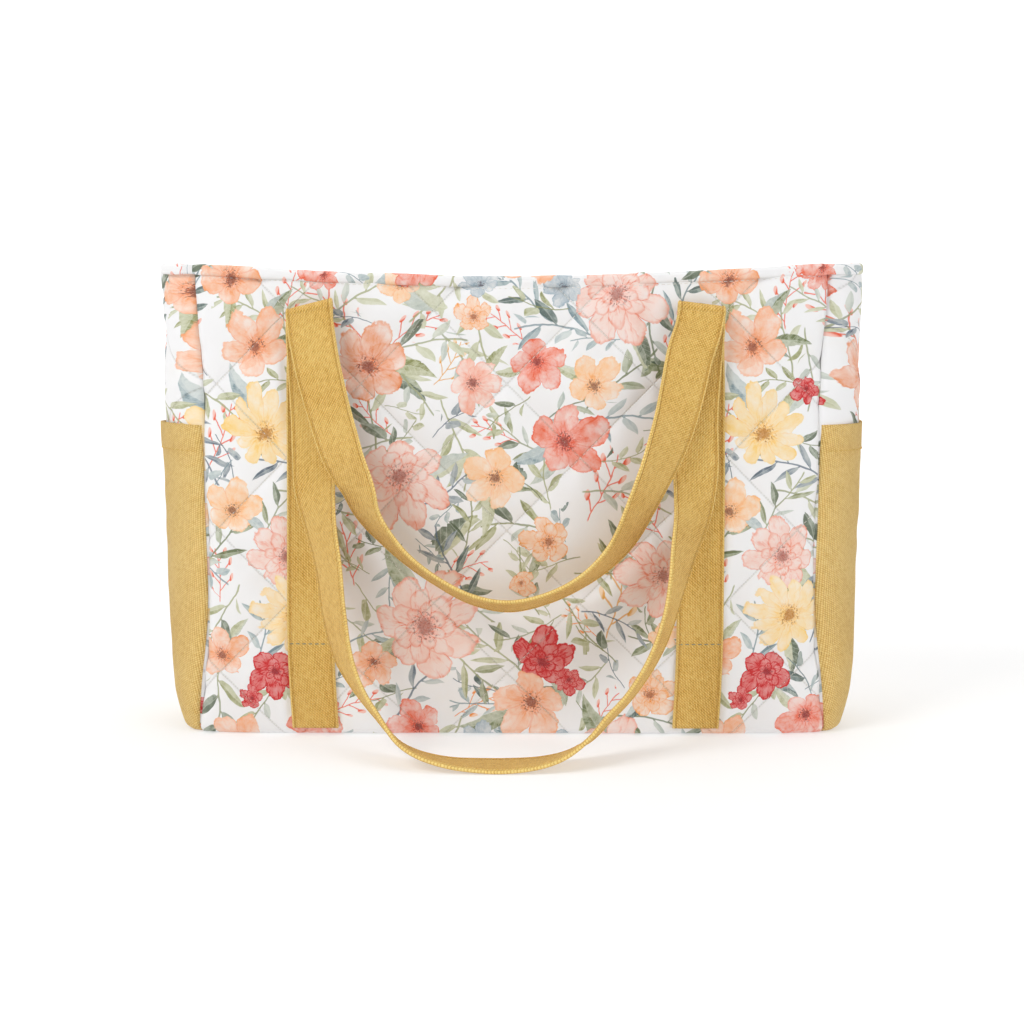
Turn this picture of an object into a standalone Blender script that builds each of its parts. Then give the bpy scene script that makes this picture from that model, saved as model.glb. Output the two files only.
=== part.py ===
"""Knitting bag: a quilted cotton tote with bulging gussets, canvas side pockets and,
on each face, two webbing straps that carry a short hand loop and a long shoulder loop.

Frame: metres, +Z up, front of the bag faces -Y, origin at the bottom centre.
Dimensions below are in millimetres and are scaled to metres when a mesh is made.
"""
import bpy
import bmesh
import math
import numpy as np

MM = 0.001

# ---------------------------------------------------------------- driving dimensions (mm)
# Horizontal sections of the stuffed bag are superellipses |x/a|^n + |y/c|^n = 1.
LEVELS = [0.0, 30.0, 80.0, 150.0, 205.0, 260.0, 307.0]
HALF_WIDTH = [218.0, 226.5, 229.3, 231.3, 232.0, 231.2, 229.8]   # a: out to the gusset crown
HALF_DEPTH = [54.0, 58.0, 64.5, 67.0, 62.5, 55.0, 48.5]          # c: out to the panel crown
SQUARENESS = [7.0, 5.6, 4.3, 3.9, 4.0, 4.6, 5.6]                 # n
SEAM_X = [203.6, 200.2, 194.4, 195.2, 196.5, 199.6, 203.6]       # front/back panel half width

TOP_CORNER = 303.8        # rim height over the four seams
FRONT_SAG = 8.6           # rim dips this much at the middle of front and back
SIDE_RISE = 2.5           # rim lifts this much over each gusset
WALL = 5.0                # quilted cotton with its wadding
LINING = 1.2
GAP = 0.3                 # clearance between touching pieces
BASE_T = 4.7
BOARD_T = 2.5
BINDING_H = 6.0
BINDING_PROUD = 0.8
POCKET_TOP = 203.0
POCKET_T = 1.5
POCKET_EASE = 7.8         # how far the gusset lies behind an open pocket
WEB_W = 30.0              # webbing width
WEB_T = 2.4               # webbing thickness
STRAP_X = (-127.3, 120.0) # centre lines of the sewn straps
STRAP_TOP = 266.6
AXIS_Y = 58.0             # fold line that both loops hang from
AXIS_Z = 273.0
FOLD_R = 3.7              # centre line radius of the short loop over the fold


# ---------------------------------------------------------------- small helpers
def smooth(t):
    t = min(1.0, max(0.0, t))
    return t * t * (3.0 - 2.0 * t)


def hermite(xs, ys, x):
    """Smooth curve through (xs, ys) with finite-difference slopes."""
    xs = [float(v) for v in xs]
    x = min(max(x, xs[0]), xs[-1])
    i = 0
    while i < len(xs) - 2 and x > xs[i + 1]:
        i += 1

    def slope(k):
        lo, hi = max(k - 1, 0), min(k + 1, len(xs) - 1)
        return (ys[hi] - ys[lo]) / (xs[hi] - xs[lo])

    h = xs[i + 1] - xs[i]
    t = (x - xs[i]) / h
    return ((2 * t**3 - 3 * t**2 + 1) * ys[i] + (t**3 - 2 * t**2 + t) * h * slope(i)
            + (-2 * t**3 + 3 * t**2) * ys[i + 1] + (t**3 - t**2) * h * slope(i + 1))


def section(z):
    return (hermite(LEVELS, HALF_WIDTH, z), hermite(LEVELS, HALF_DEPTH, z),
            hermite(LEVELS, SQUARENESS, z), hermite(LEVELS, SEAM_X, z))


def seam_y(z):
    a, c, n, xs = section(z)
    return c * (1.0 - (xs / a) ** n) ** (1.0 / n)


def on_panel(x, z, d, side=-1):
    """Point d mm inside the outer surface of the front (side -1) or back (+1)."""
    a, c, n, xs = section(z)
    y = c * (1.0 - abs(x / a) ** n) ** (1.0 / n)
    gx = math.copysign(abs(x / a) ** (n - 1) / a, x)
    gy = (y / c) ** (n - 1) / c
    g = math.hypot(gx, gy)
    return (x - d * gx / g, side * (y - d * gy / g), z)


def on_gusset(y, z, d, side=1):
    """Point d mm inside the outer surface of the right (side +1) or left (-1) gusset."""
    a, c, n, xs = section(z)
    x = a * (1.0 - abs(y / c) ** n) ** (1.0 / n)
    gx = (x / a) ** (n - 1) / a
    gy = math.copysign(abs(y / c) ** (n - 1) / c, y)
    g = math.hypot(gx, gy)
    return (side * (x - d * gx / g), y - d * gy / g, z)


def rim_front(x):
    return TOP_CORNER - FRONT_SAG * (1.0 - min(1.0, abs(x) / SEAM_X[-1]) ** 1.6)


def rim_side(y, z=300.0):
    return TOP_CORNER + SIDE_RISE * (1.0 - (y / seam_y(z)) ** 2)


def recess(t, z):
    """How far a gusset's cloth lies inside the section, t = -1..1 across the gusset."""
    up = 1.0 - smooth((z - 240.0) / 52.0)
    return (2.2 + POCKET_EASE * smooth((z - 20.0) / 90.0) * (1.0 - t**4)) * up


# ---------------------------------------------------------------- scene and materials
for ob in list(bpy.data.objects):
    bpy.data.objects.remove(ob, do_unlink=True)


def material(name, rgb, rough, metal=0.0):
    m = bpy.data.materials.new(name)
    m.use_nodes = True
    b = m.node_tree.nodes["Principled BSDF"]
    b.inputs["Base Color"].default_value = (*rgb, 1.0)
    b.inputs["Roughness"].default_value = rough
    b.inputs["Metallic"].default_value = metal
    return m


FLORAL = material("floral_cotton", (0.80, 0.66, 0.56), 0.9)
CANVAS = material("yellow_canvas", (0.74, 0.46, 0.12), 0.92)
LINEN = material("lining_cotton", (0.80, 0.76, 0.68), 0.9)
BOARD = material("base_board", (0.42, 0.33, 0.22), 0.8)


def add_object(name, bm, mat, parent=None, flat=False):
    bmesh.ops.recalc_face_normals(bm, faces=bm.faces)
    if bm.calc_volume(signed=True) < 0.0:
        bmesh.ops.reverse_faces(bm, faces=bm.faces)
    me = bpy.data.meshes.new(name)
    bm.to_mesh(me)
    bm.free()
    ob = bpy.data.objects.new(name, me)
    bpy.context.scene.collection.objects.link(ob)
    me.materials.append(mat)
    if not flat:
        me.shade_smooth()
        me.set_sharp_from_angle(angle=math.radians(40.0))
    if parent is not None:
        ob.parent = parent
    return ob


def block(name, nu, nv, place, mat, parent=None, shift=(0.0, 0.0, 0.0)):
    """A grid extruded once into a slab, each corner then placed by place(u, v, w)."""
    bm = bmesh.new()
    bmesh.ops.create_grid(bm, x_segments=nu, y_segments=nv, size=0.5)
    out = bmesh.ops.extrude_face_region(bm, geom=bm.faces[:])
    new = [g for g in out["geom"] if isinstance(g, bmesh.types.BMVert)]
    for v in new:
        v.co.z = 1.0
    for v in bm.verts:
        p = place(v.co.x + 0.5, v.co.y + 0.5, v.co.z)
        v.co = tuple((p[k] - shift[k]) * MM for k in range(3))
    return add_object(name, bm, mat, parent)


# ---------------------------------------------------------------- front, back and gussets
Z0 = BASE_T + GAP


def panel(name, side, d0, d1, mat, nu=16, nv=10):
    def place(u, v, w):
        zt = None
        x = (2 * u - 1) * (SEAM_X[-1] - 0.2)
        zt = rim_front(x) - BINDING_H - GAP
        z = Z0 + v * (zt - Z0)
        x = (2 * u - 1) * (section(z)[3] - 0.2)
        return on_panel(x, z, d0 + w * (d1 - d0), side)
    return block(name, nu, nv, place, mat)


def gusset(name, side, d0, d1, mat, nu=8, nv=12):
    def place(u, v, w):
        t = 2 * u - 1
        zt = rim_side(t * seam_y(300.0)) - BINDING_H - GAP
        z = Z0 + v * (zt - Z0)
        y = t * (seam_y(z) - 0.2)
        return on_gusset(y, z, recess(t, z) + d0 + w * (d1 - d0), side)
    return block(name, nu, nv, place, mat)


panel("front_panel", -1, 0.0, WALL, FLORAL)
panel("back_panel", 1, 0.0, WALL, FLORAL)
gusset("left_gusset", -1, 0.0, WALL, FLORAL)
gusset("right_gusset", 1, 0.0, WALL, FLORAL)
L0, L1 = WALL + GAP, WALL + GAP + LINING
panel("lining_front", -1, L0, L1, LINEN)
panel("lining_back", 1, L0, L1, LINEN)
gusset("lining_left", -1, L0, L1, LINEN)
gusset("lining_right", 1, L0, L1, LINEN)


# ---------------------------------------------------------------- base, board and rim binding
def outline(z, d, per_panel=14, per_side=8):
    """Closed section outline at height z, d mm inside, counter-clockwise from above."""
    xs, ys = section(z)[3], seam_y(z)
    pts = []
    for i in range(per_panel):
        pts.append(on_panel(-xs + 2 * xs * i / per_panel, z, d, -1))
    for i in range(per_side):
        pts.append(on_gusset(-ys + 2 * ys * i / per_side, z, d, 1))
    for i in range(per_panel):
        pts.append(on_panel(xs - 2 * xs * i / per_panel, z, d, 1))
    for i in range(per_side):
        pts.append(on_gusset(ys - 2 * ys * i / per_side, z, d, -1))
    return pts


def slab(name, zb, zt, d, mat):
    """Flat plate: the outline as one face, extruded up."""
    bm = bmesh.new()
    low = [bm.verts.new(tuple(k * MM for k in p)) for p in outline(zb, d)]
    face = bm.faces.new(low)
    out = bmesh.ops.extrude_face_region(bm, geom=[face])
    top = outline(zt, d)
    new = [g for g in out["geom"] if isinstance(g, bmesh.types.BMVert)]
    for v in new:
        i = min(range(len(top)), key=lambda k: (low[k].co - v.co).length)
        v.co = tuple(k * MM for k in top[i])
    add_object(name, bm, mat)


slab("base_panel", 0.0, BASE_T, 0.0, FLORAL)
slab("base_board", Z0, Z0 + BOARD_T, 9.4, BOARD)
slab("lining_base", Z0 + BOARD_T + GAP, Z0 + BOARD_T + GAP + LINING, 9.4, LINEN)


def rim_station(u):
    """Seam-to-seam walk round the rim: returns the point function of (d, drop)."""
    k, f = divmod(u * 4.0, 1.0)
    k = int(k) % 4
    xs, ys = SEAM_X[-1], seam_y(300.0)
    if k in (0, 2):
        side = -1 if k == 0 else 1
        x = (-xs + 2 * xs * f) * (1 if k == 0 else -1)
        return lambda d, drop: on_panel(x, 300.0, d, side)[:2] + (rim_front(x) - drop,)
    side = 1 if k == 1 else -1
    y = (-ys + 2 * ys * f) * (1 if k == 1 else -1)
    return lambda d, drop: on_gusset(y, 300.0, d, side)[:2] + (rim_side(y) - drop,)


def binding(name, mat, per_run=14):
    """Square-section ring that folds over the raw edges of walls and lining."""
    corners = [(-BINDING_PROUD, BINDING_H), (-BINDING_PROUD, 0.0),
               (L1 + 0.8, 0.0), (L1 + 0.8, BINDING_H)]
    n = 4 * per_run
    bm = bmesh.new()
    rings = []
    for i in range(n):
        at = rim_station(i / n)
        rings.append([bm.verts.new(tuple(q * MM for q in at(d, h))) for d, h in corners])
    for i in range(n):
        a, b = rings[i], rings[(i + 1) % n]
        edges = []
        for ring in (a, b):
            for k in range(4):
                pair = (ring[k], ring[(k + 1) % 4])
                e = bm.edges.get(pair) or bm.edges.new(pair)
                edges.append(e)
        bmesh.ops.bridge_loops(bm, edges=edges)
    add_object(name, bm, mat)


binding("top_binding", FLORAL)


# ---------------------------------------------------------------- side pockets
def pocket(name, side):
    def place(u, v, w):
        t = 2 * u - 1
        z = Z0 + v * (POCKET_TOP + 1.2 * t * t - Z0)
        y = t * (seam_y(z) - 0.5)
        return on_gusset(y, z, 0.3 + w * POCKET_T, side)
    return block(name, 8, 8, place, CANVAS)


pocket("left_side_pocket", -1)
pocket("right_side_pocket", 1)


# ---------------------------------------------------------------- sewn straps
def sewn_strap(name, x0, side):
    def place(u, v, w):
        z = Z0 + 0.4 + v * (STRAP_TOP - Z0 - 0.4)
        x = x0 + (u - 0.5) * WEB_W
        return on_panel(x, z, -0.5 - w * WEB_T, side)
    return block(name, 2, 10, place, CANVAS)


for side, word in ((-1, "front"), (1, "back")):
    sewn_strap(word + "_left_strap", STRAP_X[0], side)
    sewn_strap(word + "_right_strap", STRAP_X[1], side)


# ---------------------------------------------------------------- webbing loops
# Route of each loop, left fold to right fold: x, reach forward, height, then the lie of
# the webbing's width: turn in the upright plane and lean towards the front (degrees).
LONG_ROUTE = [
    (-127.3, 58.0, 273.0, 0, 0), (-127.2, 60.4, 260.0, 0, 2), (-126.0, 64.0, 240.0, 0, 5),
    (-124.0, 69.0, 210.0, 0, 10), (-123.2, 72.8, 184.0, 0, 16), (-123.0, 76.2, 166.0, 1, 24),
    (-118.6, 83.5, 140.0, 10, 43), (-113.0, 90.0, 114.0, 15, 51), (-109.5, 95.5, 88.0, 18, 54),
    (-104.0, 102.0, 64.0, 20, 60), (-95.0, 109.5, 45.5, 28, 69), (-82.0, 118.0, 28.5, 34, 75),
    (-65.0, 129.0, 12.0, 46, 79), (-43.0, 136.5, 4.4, 70, 84), (-6.0, 139.0, 1.7, 90, 90),
    (27.0, 136.5, 5.4, 110, 84), (46.0, 129.5, 14.5, 124, 77), (59.0, 121.5, 25.7, 134, 74),
    (72.4, 114.0, 38.4, 143, 74), (84.3, 107.0, 54.7, 150, 73), (93.0, 100.5, 71.3, 157, 71),
    (99.0, 95.0, 88.3, 161, 69), (103.5, 90.0, 106.0, 165, 63), (107.5, 85.0, 124.0, 169, 53),
    (113.2, 79.5, 146.0, 174, 35), (115.8, 73.6, 176.0, 179, 13), (115.2, 70.0, 204.0, 180, 9),
    (117.5, 64.5, 238.0, 180, 4), (119.6, 60.4, 260.0, 180, 1), (120.0, 58.0, 273.0, 180, 0)]
SHORT_ROUTE = [
    (-126.9, 64.0, 264.0, 2, 2), (-125.0, 67.6, 254.0, 8, 5), (-121.0, 72.0, 237.0, 12, 10),
    (-115.8, 77.0, 219.0, 14, 16), (-109.5, 83.5, 199.0, 16, 22), (-102.4, 91.3, 181.0, 18, 30),
    (-94.8, 94.0, 165.0, 20, 41), (-90.4, 92.4, 152.0, 27, 52), (-84.5, 91.8, 141.5, 35, 61),
    (-76.0, 90.0, 131.0, 39, 68), (-64.0, 89.5, 119.0, 45, 73), (-45.0, 89.0, 105.0, 54, 75),
    (-24.0, 88.5, 94.0, 70, 73), (-1.0, 88.5, 89.7, 90, 71), (23.0, 88.5, 94.8, 110, 72),
    (42.7, 89.0, 104.4, 128, 71), (59.0, 89.5, 117.6, 143, 65), (71.5, 90.0, 133.0, 152, 57),
    (82.8, 92.8, 158.0, 157, 47), (91.4, 92.6, 178.0, 161, 38), (101.0, 84.6, 203.0, 164, 25),
    (107.0, 77.0, 225.0, 167, 15), (111.8, 71.5, 246.0, 171, 8), (117.6, 66.4, 259.0, 175, 3),
    (119.8, 64.0, 264.0, 178, 2)]


def catmull(rows, count):
    """Evenly parameterised Catmull-Rom curve through the rows of numbers."""
    r = np.array(rows, float)
    r = np.vstack([2 * r[0] - r[1], r, 2 * r[-1] - r[-2]])
    seg = len(rows) - 1
    out = []
    for i in range(count):
        s = seg * i / (count - 1)
        k = min(int(s), seg - 1)
        t = s - k
        p0, p1, p2, p3 = r[k], r[k + 1], r[k + 2], r[k + 3]
        out.append(0.5 * (2 * p1 + (p2 - p0) * t + (2 * p0 - 5 * p1 + 4 * p2 - p3) * t * t
                          + (3 * p1 - p0 - 3 * p2 + p3) * t**3))
    return np.array(out)


def webbing(name, rows, face, parent, stations, over_fold):
    """Flat webbing swept along its route, wound over the fold line at both ends."""
    pts = catmull(rows, stations)
    cen = np.stack([pts[:, 0], -pts[:, 1], pts[:, 2]], 1)
    turn, lean = np.radians(pts[:, 3]), np.radians(pts[:, 4])
    wid = np.stack([np.cos(turn) * np.cos(lean), -np.sin(lean), np.sin(turn) * np.cos(lean)], 1)
    tan = np.gradient(cen, axis=0)
    tan /= np.linalg.norm(tan, axis=1)[:, None]
    wid -= (wid * tan).sum(1)[:, None] * tan
    wid /= np.linalg.norm(wid, axis=1)[:, None]
    nor = np.cross(tan, wid)
    frames = [(cen[i], wid[i], nor[i]) for i in range(stations)]
    if over_fold:
        # the short loop wraps the long one: an arc of radius FOLD_R about the fold line
        def arc(x, sign):
            steps = []
            for k in range(7):
                th = math.radians(-55.0 + 145.0 * k / 6.0)
                steps.append((np.array([x, -AXIS_Y - FOLD_R * math.sin(th), AXIS_Z + FOLD_R * math.cos(th)]),
                              np.array([sign, 0.0, 0.0]),
                              np.array([0.0, -math.sin(th), math.cos(th)])))
            return steps
        frames = arc(rows[0][0] - 0.4, 1.0) + frames + arc(rows[-1][0] + 0.2, -1.0)[::-1]
    else:
        # the long loop ends in a stub just past the fold line
        first, last = frames[0], frames[-1]
        up = np.array([0.0, 0.0, 1.3])
        frames = [(first[0] + up, first[1], np.array([0.0, -1.0, 0.0]))] + frames \
            + [(last[0] + up, last[1], np.array([0.0, -1.0, 0.0]))]
    n = len(frames)

    def place(u, v, w):
        c, wd, no = frames[int(round(u * (n - 1)))]
        p = c + wd * (v - 0.5) * WEB_W + no * (w - 0.5) * WEB_T
        return (p[0], p[1] * face, p[2])

    return block(name, n - 1, 1, place, CANVAS, parent, (0.0, -AXIS_Y * face, AXIS_Z))


for face, word in ((1, "front"), (-1, "back")):
    hinge = bpy.data.objects.new(word + "_fold_line", None)
    hinge.location = (0.0, -AXIS_Y * face * MM, AXIS_Z * MM)
    bpy.context.scene.collection.objects.link(hinge)
    bpy.context.view_layer.update()
    webbing(word + "_long_handle", LONG_ROUTE, face, hinge, 62, False)
    webbing(word + "_short_handle", SHORT_ROUTE, face, hinge, 50, True)
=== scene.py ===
import bpy, math
import numpy as np
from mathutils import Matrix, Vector


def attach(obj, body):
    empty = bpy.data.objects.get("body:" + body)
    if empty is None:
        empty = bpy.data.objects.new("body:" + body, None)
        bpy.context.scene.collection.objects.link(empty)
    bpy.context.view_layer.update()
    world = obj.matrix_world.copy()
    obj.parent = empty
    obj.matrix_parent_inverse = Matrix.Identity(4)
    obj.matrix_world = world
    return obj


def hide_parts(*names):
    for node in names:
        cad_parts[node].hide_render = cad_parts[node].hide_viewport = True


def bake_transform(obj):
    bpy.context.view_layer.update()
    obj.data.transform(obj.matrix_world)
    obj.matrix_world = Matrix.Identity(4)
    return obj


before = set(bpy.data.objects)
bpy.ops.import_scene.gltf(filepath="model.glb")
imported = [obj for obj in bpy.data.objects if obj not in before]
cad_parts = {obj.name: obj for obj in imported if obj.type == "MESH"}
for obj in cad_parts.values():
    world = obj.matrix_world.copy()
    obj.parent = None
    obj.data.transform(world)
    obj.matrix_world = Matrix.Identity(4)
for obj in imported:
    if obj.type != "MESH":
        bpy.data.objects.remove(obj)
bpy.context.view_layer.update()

MM = 0.001
QUILT = 92.9            # diamond pitch along x, mm
QX, QZ = 43.8, 273.5    # one crossing of the quilting lines, mm

# ------------------------------------------------------------------ camera, light, floor
cam_d = bpy.data.cameras.new("camera")
cam = bpy.data.objects.new("camera", cam_d)
bpy.context.scene.collection.objects.link(cam)
CAM_AZ = math.radians(0.4)
AIM = Vector((0.0005, -0.05, 0.1450))
REACH = Vector((0.0, -1.0, 0.093))
cam.location = AIM + Vector((-REACH.y * math.sin(CAM_AZ), REACH.y * math.cos(CAM_AZ), REACH.z))
cam.rotation_euler = (AIM - cam.location).to_track_quat("-Z", "Y").to_euler()
cam_d.lens = 54.92
cam_d.sensor_width = 36.0
cam_d.clip_start = 0.01
bpy.context.scene.camera = cam


def area_light(name, loc, target, size, power, color=(1, 1, 1)):
    ld = bpy.data.lights.new(name, "AREA")
    ld.shape = "RECTANGLE"
    ld.size, ld.size_y = size
    ld.energy = power
    ld.color = color
    ob = bpy.data.objects.new(name, ld)
    ob.location = loc
    ob.rotation_euler = (Vector(target) - Vector(loc)).to_track_quat("-Z", "Y").to_euler()
    bpy.context.scene.collection.objects.link(ob)
    return ob


area_light("key", (-1.35, -1.25, 1.75), (0, 0, 0.14), (1.1, 0.9), 23.0, (0.985, 0.995, 1.0))
area_light("fill", (1.7, -1.5, 0.9), (0, 0, 0.15), (1.2, 1.2), 9.5, (0.97, 0.985, 1.0))
area_light("top", (0.1, 0.0, 1.9), (0, 0, 0.1), (1.2, 1.0), 8.5)
area_light("back", (0.2, 2.0, 1.2), (0, 0, 0.15), (1.6, 1.2), 6.0)

world = bpy.data.worlds.new("studio")
bpy.context.scene.world = world
world.use_nodes = True
world.node_tree.nodes["Background"].inputs[0].default_value = (1.0, 1.0, 1.0, 1.0)
world.node_tree.nodes["Background"].inputs[1].default_value = 0.25
bpy.context.scene.view_settings.view_transform = "Standard"
bpy.context.scene.view_settings.look = "None"


# ------------------------------------------------------------------ shader expressions
class G:
    """One material's node tree, written as expressions."""

    def __init__(self, name):
        self.mat = bpy.data.materials.new(name)
        self.mat.use_nodes = True
        self.nt = self.mat.node_tree
        self.bsdf = self.nt.nodes["Principled BSDF"]

    def node(self, kind, **props):
        n = self.nt.nodes.new(kind)
        for k, v in props.items():
            setattr(n, k, v)
        return n

    def plug(self, socket, value):
        if isinstance(value, E):
            value = value.s
        if isinstance(value, bpy.types.NodeSocket):
            self.nt.links.new(value, socket)
        elif isinstance(value, (tuple, list)):
            v = list(value)
            if len(socket.default_value) == 4 and len(v) == 3:
                v.append(1.0)
            socket.default_value = v
        else:
            socket.default_value = value

    def m(self, op, a, b=None, c=None, clamp=False):
        n = self.node("ShaderNodeMath", operation=op, use_clamp=clamp)
        for i, v in enumerate((a, b, c)):
            if v is not None:
                self.plug(n.inputs[i], v)
        return E(self, n.outputs[0])

    def step(self, lo, hi, x):
        """Smooth step: 0 at lo, 1 at hi, either order."""
        n = self.node("ShaderNodeMapRange", interpolation_type="SMOOTHSTEP")
        flip = not isinstance(lo, E) and not isinstance(hi, E) and lo > hi
        self.plug(n.inputs[0], x)
        self.plug(n.inputs[1], hi if flip else lo)
        self.plug(n.inputs[2], lo if flip else hi)
        n.inputs[3].default_value = 1.0 if flip else 0.0
        n.inputs[4].default_value = 0.0 if flip else 1.0
        return E(self, n.outputs[0])

    def vec(self, x, y, z=0.0):
        n = self.node("ShaderNodeCombineXYZ")
        for i, v in enumerate((x, y, z)):
            self.plug(n.inputs[i], v)
        return E(self, n.outputs[0])

    def noise(self, vec, scale, detail=2.0, rough=0.5, out=0):
        n = self.node("ShaderNodeTexNoise", noise_dimensions="3D")
        self.plug(n.inputs["Vector"], vec)
        n.inputs["Scale"].default_value = scale
        n.inputs["Detail"].default_value = detail
        n.inputs["Roughness"].default_value = rough
        return E(self, n.outputs[out])

    def mix(self, f, a, b, blend="MIX"):
        n = self.node("ShaderNodeMix", data_type="RGBA", blend_type=blend)
        self.plug(n.inputs[0], f)
        self.plug(n.inputs[6], a)
        self.plug(n.inputs[7], b)
        return E(self, n.outputs[2])

    def attr(self, name):
        n = self.node("ShaderNodeAttribute", attribute_name=name)
        return E(self, n.outputs["Color"]), E(self, n.outputs["Vector"]), E(self, n.outputs["Alpha"])

    def xyz(self, v):
        n = self.node("ShaderNodeSeparateXYZ")
        self.plug(n.inputs[0], v)
        return [E(self, n.outputs[i]) for i in range(3)]


class E:
    def __init__(self, g, s):
        self.g, self.s = g, s

    def __add__(self, o): return self.g.m("ADD", self, o)
    def __radd__(self, o): return self.g.m("ADD", self, o)
    def __sub__(self, o): return self.g.m("SUBTRACT", self, o)
    def __rsub__(self, o): return self.g.m("SUBTRACT", o, self)
    def __mul__(self, o): return self.g.m("MULTIPLY", self, o)
    def __rmul__(self, o): return self.g.m("MULTIPLY", self, o)
    def __truediv__(self, o): return self.g.m("DIVIDE", self, o)
    def __rtruediv__(self, o): return self.g.m("DIVIDE", o, self)
    def __neg__(self): return self.g.m("MULTIPLY", self, -1.0)
    def __pow__(self, o): return self.g.m("POWER", self, o)
    def abs(self): return self.g.m("ABSOLUTE", self)
    def sin(self): return self.g.m("SINE", self)
    def cos(self): return self.g.m("COSINE", self)
    def fract(self): return self.g.m("FRACT", self)
    def floor(self): return self.g.m("FLOOR", self)
    def min(self, o): return self.g.m("MINIMUM", self, o)
    def max(self, o): return self.g.m("MAXIMUM", self, o)
    def gt(self, o): return self.g.m("GREATER_THAN", self, o)
    def clip(self): return self.g.m("ADD", self, 0.0, clamp=True)


def srgb(h):
    h = h.lstrip("#")
    v = [int(h[i:i + 2], 16) / 255.0 for i in (0, 2, 4)]
    return tuple(c / 12.92 if c <= 0.04045 else ((c + 0.055) / 1.055) ** 2.4 for c in v)


def finish_bsdf(g, color, rough, height, strength, dist, sheen=0.0):
    b = g.bsdf
    g.plug(b.inputs["Base Color"], color)
    if isinstance(rough, E):
        g.plug(b.inputs["Roughness"], rough)
    else:
        b.inputs["Roughness"].default_value = rough
    b.inputs["Specular IOR Level"].default_value = 0.25
    if sheen:
        b.inputs["Sheen Weight"].default_value = sheen
        b.inputs["Sheen Roughness"].default_value = 0.5
    n = g.node("ShaderNodeBump")
    n.inputs["Strength"].default_value = strength
    n.inputs["Distance"].default_value = dist
    g.plug(n.inputs["Height"], height)
    g.nt.links.new(n.outputs[0], b.inputs["Normal"])
    return g.mat


# ------------------------------------------------------------------ canvas, lining, thread, board
def canvas_material(name, lit, mid, low, pitch, turn=False, edged=False):
    """Heavy basket-weave cotton: short plump yarn floats in staggered rows, painted in lit tones on the yarn tops and
    shaded tones in the gaps between them. 'pq' holds metres along and across.
    """
    g = G(name)
    _, pq, _ = g.attr("pq")
    p, q, _z = g.xyz(pq)
    if turn:
        p, q = q, p
    wob = g.noise(pq, 700.0, 2.0)
    row = q / (pitch * 0.56) + (wob - 0.5) * 0.35
    rid = row.floor()
    slope = row.fract() * 0.32
    a = p / pitch + rid * 0.5 + slope + (wob - 0.5) * 0.25
    dash = (a.fract() * math.pi).sin().max(0.001) ** 0.55
    ridge = (row.fract() * math.pi).sin().max(0.001) ** 0.6
    h = dash * ridge
    yarn = g.noise(g.vec(a.floor(), rid, 0.0), 3.7, 0.0)
    fibre = g.noise(g.vec(p, q * 5.0), 1500.0, 3.0, 0.65)
    fade = g.noise(pq, 22.0, 4.0, 0.6)
    # tone: weave height gives painted light on the yarn tops and painted shade in the gaps, plus random yarn, fibre and
    # fade tone
    tone = h * 0.78 + (yarn - 0.5) * 0.55 + (fibre - 0.5) * 0.45 + (fade - 0.5) * 0.5
    c = g.mix(g.step(-0.05, 0.42, tone), low, mid)
    c = g.mix(g.step(0.30, 0.86, tone), c, lit)
    if edged:
        # painted shade darkens the stitch groove near each edge, and a painted highlight lightens the rolled edge bead
        # beyond it
        aq = (q if not turn else p).abs() * 1000.0
        line = g.step(0.95, 0.25, (aq - 12.75).abs())
        c = g.mix(line * 0.45, c, low)
        lip = g.step(13.5, 14.2, aq)
        c = g.mix(lip * 0.30, c, lit)
    # the strap's outer edge band is lightened in mottled patches: partly fuzzy yarn, partly a painted highlight on the
    # edge
    _, edge_fuzz_and_highlight, _ = g.attr("edge_fuzz_and_highlight")
    wx, _, _ = g.xyz(edge_fuzz_and_highlight)
    fuzz = g.noise(pq, 420.0, 4.0, 0.7)
    c = g.mix((wx * g.step(0.35, 0.75, fuzz)) * 0.35, c, tuple(min(1.0, v * 1.08 + 0.03) for v in lit))
    return finish_bsdf(g, c, (fibre * 0.1 + 0.84), h + fibre * 0.25, 0.8, 0.0009, sheen=0.15)


# lit, mid and shaded tones of the yellow webbing (the pocket canvas below has its own); the shaded tone is painted
# shade in the weave gaps and the stitch groove
YEL_LIT, YEL_MID, YEL_SHADE = srgb("FFDF8C"), srgb("FAC45C"), srgb("B47A26")
M_WEB = canvas_material("m_webbing", YEL_LIT, YEL_MID, YEL_SHADE, 0.00185, edged=True)
M_CANVAS = canvas_material("m_pocket_canvas", srgb("FFE096"), srgb("F5CB76"), srgb("CF9A48"), 0.00140, turn=True)


def plain_cloth(name, lit, low, pitch=0.0007):
    g = G(name)
    _, pq, _ = g.attr("pq")
    p, q, _z = g.xyz(pq)
    h = (p * (2 * math.pi / pitch)).sin() * (q * (2 * math.pi / pitch)).sin()
    slub = g.noise(g.vec(p * 0.2, q), 1800.0, 3.0, 0.6)
    fade = g.noise(pq, 12.0, 3.0)
    # mostly random slub and fade tone; the small weave term is painted shade in the hollows between threads
    c = g.mix(g.step(0.2, 0.9, h * 0.2 + slub * 0.5 + fade * 0.6), low, lit)
    return finish_bsdf(g, c, 0.9, h * 0.6 + slub * 0.5, 0.3, 0.0003, sheen=0.1)


M_LINING = plain_cloth("m_lining", srgb("FAF7EE"), srgb("E9E2D3"))


def thread_material(name, lit, low):
    g = G(name)
    _, pq, _ = g.attr("pq")
    p, q, _z = g.xyz(pq)
    twist = ((p * 5200.0) + q * 3000.0).sin()
    fade = g.noise(pq, 300.0, 2.0)
    # twist stripes: painted shade in the grooves between the plies, plus random fade tone
    c = g.mix((twist * 0.3 + fade).clip(), low, lit)
    return finish_bsdf(g, c, 0.7, twist, 0.4, 0.0001)


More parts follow.
